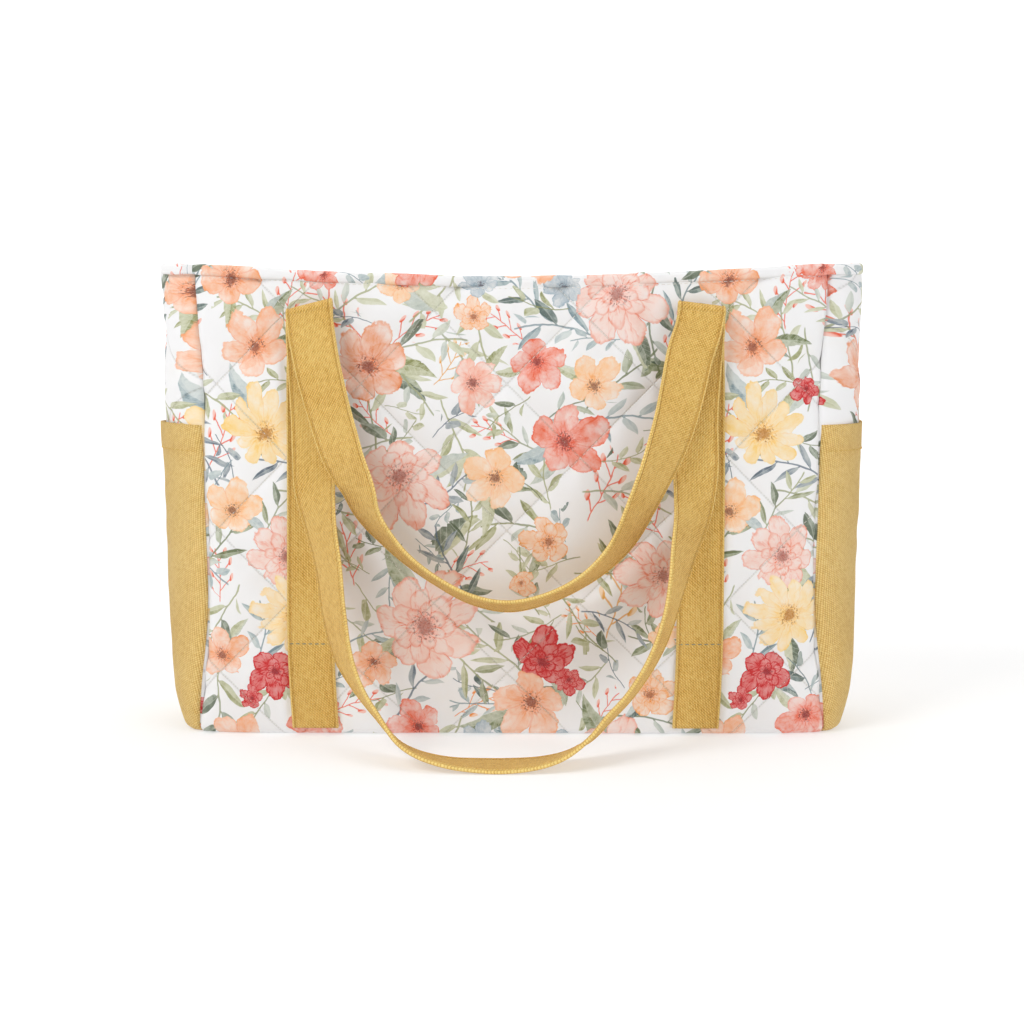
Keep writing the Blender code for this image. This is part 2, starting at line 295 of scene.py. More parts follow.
M_THREAD_Y = thread_material("m_thread_yellow", srgb("F7D078"), srgb("D39E3C"))
M_THREAD_W = thread_material("m_thread_white", srgb("F7F4EE"), srgb("DAD4CA"))
M_THREAD_G = thread_material("m_thread_grey", srgb("B9AE93"), srgb("8D8166"))


def board_material():
    g = G("m_board")
    n = g.node("ShaderNodeTexCoord")
    v = E(g, n.outputs["Object"])
    fib = g.noise(v, 260.0, 5.0, 0.7)
    c = g.mix(fib, srgb("8C7350"), srgb("B09770"))
    return finish_bsdf(g, c, 0.85, fib, 0.3, 0.0004)


M_BOARD = board_material()

# ------------------------------------------------------------------ the printed cotton
GROUND = srgb("F6F5F5")


def flower(g, col, A, B):
    """Paint one layer of blooms over col. A: local u, v, seed, petals. B: colour, fullness."""
    ca, _, n = g.attr(A)
    base, _, style = g.attr(B)
    full, solid = style.min(1.0), (style - 1.0).max(0.0)
    u, v, seed = g.xyz(ca)
    wp = g.vec(u, v, seed * 7.0)
    w1 = g.noise(wp, 2.3, 3.0, 0.55, out=1)
    wx, wy, wz = g.xyz(w1)
    lean = (1.0 - (u * u + v * v)).max(0.0) * 0.20
    u = u + (wx - 0.5) * 0.24 + (seed * 41.0).cos() * lean
    v = v + (wy - 0.5) * 0.24 + (seed * 41.0).sin() * lean
    r = g.m("SQRT", u * u + v * v)
    th = g.m("ARCTAN2", v, u)
    streak = g.noise(g.vec(u / (r + 0.12), v / (r + 0.12), seed * 5.0 + r * 0.22), 9.0, 3.0, 0.7)
    wash = g.noise(wp, 2.4, 4.0, 0.6)
    fine = g.noise(wp, 9.0, 3.0, 0.6)
    deep = g.mix(0.62, base, g.mix(1.0, base, base, "MULTIPLY"))
    pale = g.mix(0.64, base, (1.0, 0.955, 0.90))

    def ring(col, size, turn, wide, amount):
        ph = th * n * 0.5 + seed * 3.1 + turn
        pid = (ph / math.pi + 0.5).floor()
        hsh = ((pid * 12.99 + seed * 78.2 + turn).sin() * 43.7).fract()
        pa = ph.cos().abs()
        flank = ph.sin() * ph.cos()
        wave = (th * 5.0 + seed * 9.0 + turn * 2.0).sin() * 0.03 + (wz - 0.5) * 0.26 + (fine - 0.5) * 0.10
        edge = (pa ** wide * 0.36 + 0.58 + wave + (hsh - 0.5) * 0.20) * size
        inside = g.step(0.0, 0.03, edge - r)
        rim = g.step(0.11, 0.0, edge - r)
        split = g.step(0.20, 0.0, pa) * g.step(0.10, 0.42, r / size)
        heart = g.step(0.72, 0.06, r / size)
        t = (wash - 0.5) * 1.6 + 0.56 + (hsh - 0.5) * 0.45 + rim * 0.22 + heart * 0.30 + flank * 0.35
        t = t + (streak - 0.5) * 1.5 * (heart + 0.25)
        tf = rim * 0.75 + g.step(0.50, 0.70, streak) * 0.65 + split * 0.5 + heart * 0.30 + (wash - 0.5) * 1.2 + solid * 0.70
        t = g.m("ADD", t * (1.0 - full), tf * full)
        c = g.mix(t.clip(), pale, base)
        dk = split * 0.55 + heart * heart * g.step(0.42, 0.72, streak) * 0.9 + g.step(0.85, 1.35, t) * 0.6
        c = g.mix(dk.clip(), c, deep)
        # thin washes let the ground show at the tips
        thin = g.step(0.60, 0.30, wash + rim * 0.25) * g.step(0.4, 0.9, r / size) * 0.45 * (1.0 - solid)
        c = g.mix(thin, c, GROUND)
        return g.mix(inside * amount, col, c)

    col = ring(col, 1.04, 0.0, 0.50, 1.0)
    col = ring(col, 0.70, 1.3, 0.6, (full * 0.9 + 0.12).clip())
    col = ring(col, 0.44, 2.4, 0.7, full)
    dark = g.mix(g.m("GREATER_THAN", n, 9.0), srgb("54323A"), srgb("A8622C"))
    eye_c = g.mix(0.80, deep, dark)
    dots = g.noise(wp, 19.0, 1.0, 0.5)
    stam = g.step(0.54, 0.60, dots) * g.step(0.33, 0.20, r)
    eye = g.step(0.17, 0.09, r + (dots - 0.5) * 0.16)
    halo = g.step(0.46, 0.10, r) * g.step(0.30, 0.62, streak) * 0.75
    col = g.mix(halo * (1.0 - full * 0.5), col, deep)
    return g.mix((stam * 0.85 + eye * 0.80).clip() * (1.0 - full * 0.35), col, eye_c)


def sprig(g, col, A, B):
    """Paint one layer of leafy stems. A: local u, v, seed, leaf pairs (0: one broad leaf)."""
    ca, _, n = g.attr(A)
    base, _, slim = g.attr(B)
    u, v, seed = g.xyz(ca)
    wp = g.vec(u, v, seed * 7.0)
    wob = g.noise(wp, 2.6, 2.0, 0.5, out=1)
    wx, wy, wz = g.xyz(wob)
    wash = g.noise(wp, 4.2, 4.0, 0.62)
    v0 = (u * 2.2 + seed * 7.0).sin() * 0.12
    v1 = v - v0 + (wy - 0.5) * 0.10
    side = v1.gt(0.0)
    av = v1.abs()
    us = u - av * 0.95 + (wx - 0.5) * 0.10
    cell = us * 0.5 * n + side * 0.5 + seed * 3.0 + n * 0.5
    hsh = ((cell.floor() * 12.99 + side * 5.3 + seed * 78.2).sin() * 43.7).fract()
    f = cell.fract() - 0.5
    taper = (g.step(1.02, 0.0, us) * 0.16 + 0.30) * (hsh * 0.45 + 0.75)
    a = (av - 0.035) / taper
    prof = (a.max(0.0) ** 0.8 * math.pi).sin().max(0.0) ** 0.9
    half = prof * slim * (hsh * 0.3 + 0.85)
    room = g.step(1.0, 0.97, us.abs() + 0.9 / n) * n.gt(0.5)
    live = g.m("LESS_THAN", a, 1.0) * room * g.m("GREATER_THAN", a, 0.0)
    leaf = g.step(0.0, 0.035, half - f.abs()) * live
    stem = g.step(0.026, 0.010, av) * g.step(1.0, 0.94, u.abs()) * n.gt(0.5)
    stalk = g.step(0.055, 0.02, f.abs()) * g.m("LESS_THAN", a, 0.25) * room
    # one broad leaf
    bw = (1.0 - u * u).max(0.0) ** 0.85 * 0.30 * (u * -0.35 + 1.0)
    bv = v + (u * u - 0.4) * 0.18 + (wy - 0.5) * 0.16
    broad = g.step(0.0, 0.03, bw - bv.abs()) * g.m("LESS_THAN", n, 0.5) * g.step(1.0, 0.97, u.abs())
    rib = g.step(0.045, 0.004, f.abs()) * leaf + g.step(0.025, 0.008, bv.abs()) * broad
    vein = g.step(0.75, 0.98, ((u - bv.abs() * 0.9) * 30.0).sin()) * broad * 0.30
    half_tone = g.step(-0.03, 0.03, f) * leaf + g.step(-0.02, 0.02, bv) * broad
    tone = ((wash - 0.5) * 1.6 + 0.42 + (hsh - 0.5) * 0.7 + half_tone * 0.24).clip()
    cool = g.mix(g.step(0.80, 0.86, hsh) * 0.75, base, srgb("5F7468"))
    cool = g.mix(g.step(0.20, 0.14, hsh) * 0.65, cool, srgb("8FA3AB"))
    pale = g.mix(0.55, cool, (0.98, 0.98, 0.90))
    deep = g.mix(0.60, cool, g.mix(1.0, cool, cool, "MULTIPLY"))
    c = g.mix(tone, pale, cool)
    c = g.mix(g.step(0.78, 1.25, tone + wz * 0.35) * 0.9, c, deep)
    c = g.mix((rib * 0.4 + vein).clip(), c, pale)
    col = g.mix((stem + stalk).clip() * 0.85, col, g.mix(0.5, base, deep))
    return g.mix((leaf + broad).clip() * 0.95, col, c)


def berries(g, col, A, B):
    """Forking twigs with a small round bud on each tip."""
    ca, _, n = g.attr(A)
    base, _, size = g.attr(B)
    u, v, seed = g.xyz(ca)
    wp = g.vec(u, v, seed * 7.0)
    wob = g.noise(wp, 3.0, 2.0, 0.5, out=1)
    wx, wy, wz = g.xyz(wob)
    v1 = v - (u * 1.8 + seed * 5.0).sin() * 0.10 + (wy - 0.5) * 0.10
    side = v1.gt(0.0)
    av = v1.abs()
    us = u - av * 1.1 + (wx - 0.5) * 0.08
    cell = us * 0.5 * n + side * 0.5 + seed * 3.0
    hsh = ((cell.floor() * 12.99 + side * 5.3 + seed * 78.2).sin() * 43.7).fract()
    f = cell.fract() - 0.5
    reach = g.step(1.0, 0.0, us) * 0.16 + 0.20 + (hsh - 0.5) * 0.16
    d = av - reach
    across = f * (2.0 / n) * 0.68
    dd = g.m("SQRT", d * d + across * across)
    ok = g.step(1.0, 0.97, us.abs() + 0.2) * n.gt(0.5)
    ball = g.step(size, size * 0.78, dd) * ok
    stalk = g.step(0.026, 0.010, across.abs()) * g.m("LESS_THAN", av, reach) * ok
    stem = g.step(0.024, 0.010, av) * g.step(0.95, 0.88, u.abs()) * n.gt(0.5)
    deep = g.mix(0.6, base, g.mix(1.0, base, base, "MULTIPLY"))
    lite = g.mix(0.50, base, (1.0, 0.97, 0.9))
    col = g.mix((stalk + stem).clip() * 0.85, col, g.mix(0.35, base, deep))
    cup = g.step(-0.2, 0.6, d / size * -1.0)
    return g.mix(ball, col, g.mix(cup, lite, g.mix(0.5, base, deep)))


SPRIG_LAYERS, FLOWER_LAYERS = 3, 2


def print_material():
    g = G("m_floral_cotton")
    _, pq, _ = g.attr("pq")
    p, q, _z = g.xyz(pq)
    wash = g.noise(pq, 22.0, 4.0, 0.6)
    col = g.mix(g.step(0.50, 0.80, wash) * 0.30, GROUND, srgb("F1EBE0"))
    col = berries(g, col, "b0a", "b0b")
    for k in range(SPRIG_LAYERS):
        col = sprig(g, col, f"s{k}a", f"s{k}b")
    for k in range(FLOWER_LAYERS):
        col = flower(g, col, f"f{k}a", f"f{k}b")
    # stitched diamond lines pinch the cloth; along them the colour is greyed as painted shade in the groove, a little
    # more at the needle holes
    _, qv, _ = g.attr("quilt")
    qa, qb, qon = g.xyz(qv)
    d1 = ((qa + qb + 0.5).fract() - 0.5).abs()
    d2 = ((qa - qb + 0.5).fract() - 0.5).abs()
    qd = d1.min(d2) * (QUILT / math.sqrt(2))
    groove_dip_and_shade = g.step(0.85, 0.15, qd) * qon
    hole = g.step(0.4, 0.8, ((d1.max(d2)) * (QUILT / math.sqrt(2)) * 2 * math.pi / 3.6).sin().abs())
    col = g.mix(groove_dip_and_shade * (hole * 0.16 + 0.08), col, srgb("8E8577"))
    pull = g.step(9.0, 0.0, qd) * qon
    # paper-like pigment grain and the cloth's own weave
    grain = g.noise(pq, 1500.0, 3.0, 0.6)
    col = g.mix(g.step(0.45, 0.8, grain) * 0.12, col, GROUND)
    pitch = 0.00062
    weave = (p * (2 * math.pi / pitch)).sin() * (q * (2 * math.pi / pitch)).sin()
    slub = g.noise(g.vec(p * 0.2, q), 1600.0, 3.0, 0.6)
    pucker = g.noise(g.vec(p, q * 0.6), 260.0, 3.0, 0.55)
    return finish_bsdf(g, col, slub * 0.12 + 0.78, weave * 0.22 + slub * 0.3 + pucker * (pull * 1.6 + 0.7) - groove_dip_and_shade * 2.2, 0.5, 0.0006, sheen=0.1)


M_PRINT = print_material()

# ------------------------------------------------------------------ print layout (mm)
TILE = 316.0
DROP = 300.0
PEACH, CORAL, RED = srgb("F7A873"), srgb("F0714E"), srgb("D93A3C")
YELLOW, PINK, ORANGE = srgb("FBD583"), srgb("F19C82"), srgb("F6A03C")
BROWN, PALE = srgb("EC9460"), srgb("FBC38A")
KINDS = {  # colour, petals, fullness
    "peach": (PEACH, 5, 0.25), "coral": (CORAL, 5, 0.30), "pale": (PALE, 5, 0.20),
    "peony": (PINK, 7, 1.0), "pink": (srgb("F6A98F"), 6, 0.35), "brown": (BROWN, 6, 0.35),
    "orange": (ORANGE, 5, 0.75), "daisy": (YELLOW, 11, 0.30), "red": (RED, 5, 2.0),
    "bud": (ORANGE, 3, 0.9), "blue": (srgb("9FB2BE"), 6, 0.4)}
BLOOMS = [
    (-179, 297, 19, "peach"), (-122, 298, 12, "coral"), (-71, 293, 14, "pale"), (71, 280, 28, "peony"),
    (-164, 254, 22, "peach"), (-90, 243, 24, "brown"), (-24, 272, 12, "orange"), (17, 238, 16, "coral"),
    (-21, 226, 17, "pink"), (55, 228, 17, "pale"), (-129, 223, 9, "red"), (-154, 201, 25, "daisy"),
    (38, 193, 22, "coral"), (-177, 150, 17, "pale"), (-69, 163, 29, "peony"), (-13, 166, 19, "pale"),
    (21, 129, 15, "orange"), (8, 101, 8, "bud"), (-50, 76, 34, "peony"), (-146, 121, 22, "peony"),
    (-143, 82, 25, "daisy"), (21, 53, 19, "red"), (38, 36, 9, "red"), (-153, 40, 15, "red"),
    (-169, 25, 8, "red"), (-187, 56, 16, "peach"), (-89, 46, 15, "peach"), (10, 18, 24, "peach"),
    (-63, 7, 16, "coral"), (91, 105, 23, "peony"), (92, 30, 16, "orange"), (-126, 10, 17, "coral"),
    (-20, 296, 13, "blue"), (32, 290, 13, "blue"), (98, 66, 9, "pale"), (-108, 190, 8, "orange")]
OLIVE, SAGE, BLUE = srgb("A3A66C"), srgb("B7B98C"), srgb("8FA5AC")
SLATE, MOSS = srgb("66798A"), srgb("7F8B5A")
rng = np.random.default_rng(41)


def lay_sprigs():
    """Leafy stems fill the gaps between blooms, broad leaves stand behind the larger ones."""
    out = []
    heads = [(x + TILE * a, z + DROP * b, r) for x, z, r, _ in BLOOMS for a in (-1, 0, 1) for b in (-1, 0, 1)]
    taken = []
    tries = 0
    while len(out) < 96 and tries < 12000:
        tries += 1
        big = len(out) < 58
        x, z = rng.uniform(-200, 116), rng.uniform(0, DROP)
        size = rng.uniform(23, 33) if big else rng.uniform(13, 20)
        gap = min(math.hypot(x - hx, z - hz) - hr for hx, hz, hr in heads)
        near = min([math.hypot((x - tx + TILE / 2) % TILE - TILE / 2, (z - tz + DROP / 2) % DROP - DROP / 2)
                    for tx, tz, _ in taken] or [99])
        if gap < (-6 if big else 0) or near < (22 if big else 15):
            continue
        taken.append((x, z, size))
        n = float(rng.integers(3, 5)) if big else 2.0 + float(rng.integers(0, 2))
        slim = rng.uniform(0.17, 0.24) if big else rng.uniform(0.22, 0.30)
        col = [OLIVE, SAGE, OLIVE, MOSS, BLUE, SAGE, SLATE][int(rng.integers(0, 7))]
        out.append((x, z, size, rng.uniform(0, 2 * math.pi), n, col, slim))
    for x, z, r, kind in BLOOMS:
        if r < 14:
            continue
        for j in range(1 if r < 22 else 2):
            ang = rng.uniform(0, 2 * math.pi)
            out.append((x + math.cos(ang) * r * 1.15, z + math.sin(ang) * r * 1.15, r * rng.uniform(0.6, 0.8), ang,
                        0.0, [OLIVE, SAGE, MOSS, BLUE][int(rng.integers(0, 4))], 0.3))
    out.append((-37, 131, 25, 0.7, 0.0, SAGE, 0.3))
    out.append((-62, 285, 24, 2.6, 0.0, SAGE, 0.3))
    return out


def lay_berries():
    spots = [(-112, 275, 22, 2.2, CORAL), (-60, 262, 16, 0.6, CORAL), (58, 162, 20, 1.2, CORAL),
             (86, 148, 18, 2.0, CORAL), (0, 262, 14, 2.6, CORAL), (66, 92, 24, 1.4, srgb("EBB65A")),
             (-20, 20, 16, 0.4, ORANGE), (-104, 120, 18, 1.9, CORAL), (-185, 195, 18, 1.2, CORAL),
             (100, 195, 15, 0.4, CORAL), (-10, 196, 14, 2.9, CORAL), (60, 14, 15, 0.9, CORAL),
             (-110, 70, 15, 2.0, srgb("EBB65A")), (-188, 105, 15, 1.7, CORAL), (-85, 205, 14, 2.3, CORAL),
             (104, 255, 16, 1.3, CORAL), (-40, 240, 14, 1.0, srgb("EBB65A")), (-100, 20, 15, 0.3, CORAL),
             (45, 75, 12, 2.5, ORANGE), (-30, 110, 14, 0.2, CORAL), (-140, 280, 16, 1.5, CORAL)]
    return [(x, z, r * 1.25, a, 4.0, c, 0.085) for x, z, r, a, c in spots]


def to_layers(stamps, count, reach):
    """Spread overlapping stamps over layers."""
    layers = [[] for _ in range(count)]
    for s in stamps:
        cost = []
        for L in layers:
            worst = 0.0
            for t in L:
                dx = (s[0] - t[0] + TILE / 2) % TILE - TILE / 2
                dz = (s[1] - t[1] + DROP / 2) % DROP - DROP / 2
                worst += max(0.0, (s[2] + t[2]) * reach - math.hypot(dx, dz))
            cost.append(worst)
        layers[int(np.argmin(cost))].append(s)
    return layers


rows = []
for i, (x, z, r, kind) in enumerate(BLOOMS):
    c, n, full = KINDS[kind]
    rows.append((x, z, r * 1.08, rng.uniform(0, 6.28), float(n), c, full))
LAYERS = {}
for k, L in enumerate(to_layers(rows, FLOWER_LAYERS, 0.95)):
    LAYERS[f"f{k}"] = L
for k, L in enumerate(to_layers(lay_sprigs(), SPRIG_LAYERS, 0.7)):
    LAYERS[f"s{k}"] = L
LAYERS["b0"] = lay_berries()


def stamp_print(me, pq, outer_faces=None):
    """Give every face corner its place in the nearest stamp of each layer. pq in mm."""
    nl = len(me.loops)
    vi = np.empty(nl, np.int32)
    me.loops.foreach_get("vertex_index", vi)
    starts = np.empty(len(me.polygons), np.int32)
    totals = np.empty(len(me.polygons), np.int32)
    me.polygons.foreach_get("loop_start", starts)
    me.polygons.foreach_get("loop_total", totals)
    face_of = np.repeat(np.arange(len(me.polygons)), totals)
    cp = pq[vi]
    fc = np.zeros((len(me.polygons), 2))
    np.add.at(fc, face_of, cp)
    fc /= totals[:, None]
    lo, hi = fc.min(0), fc.max(0)
    for name, stamps in LAYERS.items():
        wide = 1.12 if name[0] == "f" else 1.06
        best = np.full(len(fc), wide)
        a_f = np.zeros((len(fc), 6))  # cx, cz, R, rot, seed, n
        b_f = np.zeros((len(fc), 4))
        b_f[:, :3] = 1.0
        a_f[:, 0] = 1e6
        a_f[:, 2] = 10.0
        for i, (x, z, r, rot, n, c, extra) in enumerate(stamps):
            for ka in range(math.floor((lo[0] - 60 - x) / TILE), math.ceil((hi[0] + 60 - x) / TILE) + 1):
                for kb in range(math.floor((lo[1] - 60 - z) / DROP), math.ceil((hi[1] + 60 - z) / DROP) + 1):
                    cx, cz = x + ka * TILE, z + kb * DROP
                    near = np.nonzero((np.abs(fc[:, 0] - cx) < r * 1.2) & (np.abs(fc[:, 1] - cz) < r * 1.2))[0]
                    if not len(near):
                        continue
                    d = fc[near] - (cx, cz)
                    ca, sa = math.cos(rot), math.sin(rot)
                    uu = (d[:, 0] * ca + d[:, 1] * sa) / r
                    vv = (-d[:, 0] * sa + d[:, 1] * ca) / r
                    m = np.hypot(uu, vv) if name[0] == "f" else np.maximum(np.abs(uu), np.abs(vv) / 0.62)
                    ok = m < best[near]
                    idx = near[ok]
                    best[idx] = m[ok]
                    a_f[idx] = (cx, cz, r, rot, (i * 0.37) % 1.0 + 0.05, n)
                    b_f[idx] = (*c, extra)
        af = a_f[face_of]
        d = cp - af[:, :2]
        ca, sa = np.cos(af[:, 3]), np.sin(af[:, 3])
        out = np.empty((nl, 4), np.float32)
        out[:, 0] = np.clip((d[:, 0] * ca + d[:, 1] * sa) / af[:, 2], -9, 9)
        out[:, 1] = np.clip((-d[:, 0] * sa + d[:, 1] * ca) / af[:, 2], -9, 9)
        out[:, 2] = af[:, 4]
        out[:, 3] = np.where(af[:, 5] > 0.5, af[:, 5], 0.0)
        at = me.attributes.new(name + "a", "FLOAT_COLOR", "CORNER")
        at.data.foreach_set("color", out.ravel())
        at = me.attributes.new(name + "b", "FLOAT_COLOR", "CORNER")
        at.data.foreach_set("color", b_f[face_of].astype(np.float32).ravel())


# ------------------------------------------------------------------ the bag's form (mm), as in the frame
LEVELS = np.array([0.0, 30.0, 80.0, 150.0, 205.0, 260.0, 307.0])
HALF_WIDTH = np.array([218.0, 226.5, 229.3, 231.3, 232.0, 231.2, 229.8])
HALF_DEPTH = np.array([54.0, 58.0, 64.5, 67.0, 62.5, 55.0, 48.5])
SQUARENESS = np.array([7.0, 5.6, 4.3, 3.9, 4.0, 4.6, 5.6])
SEAM_X = np.array([203.6, 200.2, 194.4, 195.2, 196.5, 199.6, 203.6])


def herm(ys, x):
    x = np.clip(np.asarray(x, float), LEVELS[0], LEVELS[-1])
    i = np.clip(np.searchsorted(LEVELS, x, side="left") - 1, 0, len(LEVELS) - 2)
    sl = np.empty(len(LEVELS))
    for k in range(len(LEVELS)):
        lo, hi = max(k - 1, 0), min(k + 1, len(LEVELS) - 1)
        sl[k] = (ys[hi] - ys[lo]) / (LEVELS[hi] - LEVELS[lo])
    h = LEVELS[i + 1] - LEVELS[i]
    t = (x - LEVELS[i]) / h
    return ((2 * t**3 - 3 * t**2 + 1) * ys[i] + (t**3 - 2 * t**2 + t) * h * sl[i]
            + (-2 * t**3 + 3 * t**2) * ys[i + 1] + (t**3 - t**2) * h * sl[i + 1])


def section(z):
    return herm(HALF_WIDTH, z), herm(HALF_DEPTH, z), herm(SQUARENESS, z), herm(SEAM_X, z)


def seam_y(z):
    a, c, n, xs = section(z)
    return c * (1.0 - (xs / a) ** n) ** (1.0 / n)


def on_panel(x, z, d, side):
    a, c, n, xs = section(z)
    y = c * np.maximum(1e-9, 1.0 - np.abs(x / a) ** n) ** (1.0 / n)
    gx = np.sign(x) * np.abs(x / a) ** (n - 1) / a
    gy = (y / c) ** (n - 1) / c
    g = np.hypot(gx, gy)
    return np.stack([x - d * gx / g, side * (y - d * gy / g), z + 0 * x], -1)


def on_gusset(y, z, d, side):
    a, c, n, xs = section(z)
    x = a * np.maximum(1e-9, 1.0 - np.abs(y / c) ** n) ** (1.0 / n)
    gx = (x / a) ** (n - 1) / a
    gy = np.sign(y) * np.abs(y / c) ** (n - 1) / c
    g = np.hypot(gx, gy)
    return np.stack([side * (x - d * gx / g), y - d * gy / g, z + 0 * y], -1)


def rim_front(x):
    return 303.8 - 8.6 * (1.0 - np.minimum(1.0, np.abs(x) / SEAM_X[-1]) ** 1.6)


def rim_side(y):
    return 303.8 + 2.5 * (1.0 - (y / seam_y(300.0)) ** 2)


def sstep(lo, hi, x):
    t = np.clip((np.asarray(x, float) - lo) / (hi - lo), 0, 1)
    return t * t * (3 - 2 * t)


def vnoise(x, y, seed, cell):
    """Smooth value noise, -1..1."""
    x, y = np.asarray(x, float) / cell, np.asarray(y, float) / cell
    xi, yi = np.floor(x), np.floor(y)
    fx, fy = x - xi, y - yi
    fx, fy = fx * fx * (3 - 2 * fx), fy * fy * (3 - 2 * fy)

    def h(a, b):
        v = np.sin(a * 127.1 + b * 311.7 + seed * 74.7) * 43758.5453
        return (v - np.floor(v)) * 2 - 1
    return ((h(xi, yi) * (1 - fx) + h(xi + 1, yi) * fx) * (1 - fy)
            + (h(xi, yi + 1) * (1 - fx) + h(xi + 1, yi + 1) * fx) * fy)


def quilt_distance(x, z):
    """Distance to the nearest stitched diamond line, mm."""
    a, b = x - QX, z - QZ
    d1 = np.abs((a + b + QUILT / 2) % QUILT - QUILT / 2) / math.sqrt(2)
    d2 = np.abs((a - b + QUILT / 2) % QUILT - QUILT / 2) / math.sqrt(2)
    return np.minimum(d1, d2)


# ------------------------------------------------------------------ mesh builders
def new_object(name, verts, faces, mat, pq=None, print_it=False, edge_fuzz_and_highlight=None, quilt=None):
    me = bpy.data.meshes.new(name)
    me.from_pydata([tuple(v) for v in (np.asarray(verts) * MM)], [], faces)
    me.update()
    vol = 0.0
    co = np.asarray(verts)
    tri = []
    for f in faces:
        for k in range(1, len(f) - 1):
            tri.append((f[0], f[k], f[k + 1]))
    tri = np.array(tri)
    p0, p1, p2 = co[tri[:, 0]], co[tri[:, 1]], co[tri[:, 2]]
    vol = np.einsum("ij,ij->i", p0, np.cross(p1, p2)).sum()
    if vol < 0:
        me.flip_normals()
    me.materials.append(mat)
    me.shade_smooth()
    ob = bpy.data.objects.new(name, me)
    bpy.context.scene.collection.objects.link(ob)
    if pq is not None:
        at = me.attributes.new("pq", "FLOAT_VECTOR", "POINT")
        full = np.zeros((len(pq), 3), np.float32)
        full[:, :2] = np.asarray(pq) * MM
        at.data.foreach_set("vector", full.ravel())
        if print_it:
            stamp_print(me, np.asarray(pq, float))
    if quilt is not None:
        at = me.attributes.new("quilt", "FLOAT_VECTOR", "POINT")
        full = np.ones((len(quilt), 3), np.float32)
        full[:, :2] = (np.asarray(quilt) - (QX, QZ)) / QUILT
        at.data.foreach_set("vector", full.ravel())
    if edge_fuzz_and_highlight is not None:
        at = me.attributes.new("edge_fuzz_and_highlight", "FLOAT_VECTOR", "POINT")
        full = np.zeros((len(edge_fuzz_and_highlight), 3), np.float32)
        full[:, 0] = edge_fuzz_and_highlight
        at.data.foreach_set("vector", full.ravel())
    return ob


def slab(name, outer, inner, pq, mat, print_it=False, wrap=False, quilt=None):
    """Two matching grids [row, column] joined round the edge."""
    nv, nu = outer.shape[:2]
    base = nv * nu
    verts = np.vstack([outer.reshape(-1, 3), inner.reshape(-1, 3)])
    idx = np.arange(base).reshape(nv, nu)
    cols = nu if wrap else nu - 1
    a = idx[:-1, np.arange(cols)]
    b = idx[:-1, (np.arange(cols) + 1) % nu]
    c = idx[1:, (np.arange(cols) + 1) % nu]
    d = idx[1:, np.arange(cols)]
    q1 = np.stack([a, b, c, d], -1).reshape(-1, 4)
    q2 = np.stack([d, c, b, a], -1).reshape(-1, 4) + base
    faces = [tuple(f) for f in q1.tolist()] + [tuple(f) for f in q2.tolist()]

    def strip(line, closed):
        line = list(line)
        m = len(line)
        for k in range(m if closed else m - 1):
            i, j = line[k], line[(k + 1) % m]
            faces.append((int(j), int(i), int(i) + base, int(j) + base))
    if wrap:
        strip(idx[0], True)
        strip(idx[-1][::-1], True)
    else:
        ring = list(idx[0, :]) + list(idx[1:, -1]) + list(idx[-1, -2::-1]) + list(idx[-2:0:-1, 0])
        strip(ring, True)
    if quilt is not None:
        quilt = np.vstack([quilt.reshape(-1, 2)] * 2)
    return new_object(name, verts, faces, mat, np.vstack([pq.reshape(-1, 2)] * 2), print_it, quilt=quilt)


def tube_mesh(name, C, W, N, prof, mat, s, caps=True, flip_t=1.0):
    """Sweep a closed profile [(t, h)] along frames; pq = (along, across) in mm."""
    n, m = len(C), len(prof)
    pr = np.asarray(prof, float)
    verts = (C[:, None, :] + W[:, None, :] * pr[None, :, 0, None] + N[:, None, :] * pr[None, :, 1, None]).reshape(-1, 3)
    pq = np.empty((n, m, 2))
    pq[:, :, 0] = s[:, None]
    pq[:, :, 1] = pr[None, :, 0] * flip_t
    faces = []
    for i in range(n - 1):
        for k in range(m):
            k2 = (k + 1) % m
            faces.append((i * m + k, i * m + k2, (i + 1) * m + k2, (i + 1) * m + k))
    if caps:
        faces.append(tuple(range(m))[::-1])
        faces.append(tuple((n - 1) * m + k for k in range(m)))
    # mask of the strap's outer edge band, lightened in the webbing shader as fuzz and painted edge highlight
    edge_fuzz_and_highlight = np.tile(sstep(12.6, 15.0, np.abs(pr[:, 0])), n)
    return new_object(name, verts, faces, mat, pq.reshape(-1, 2), edge_fuzz_and_highlight=edge_fuzz_and_highlight)


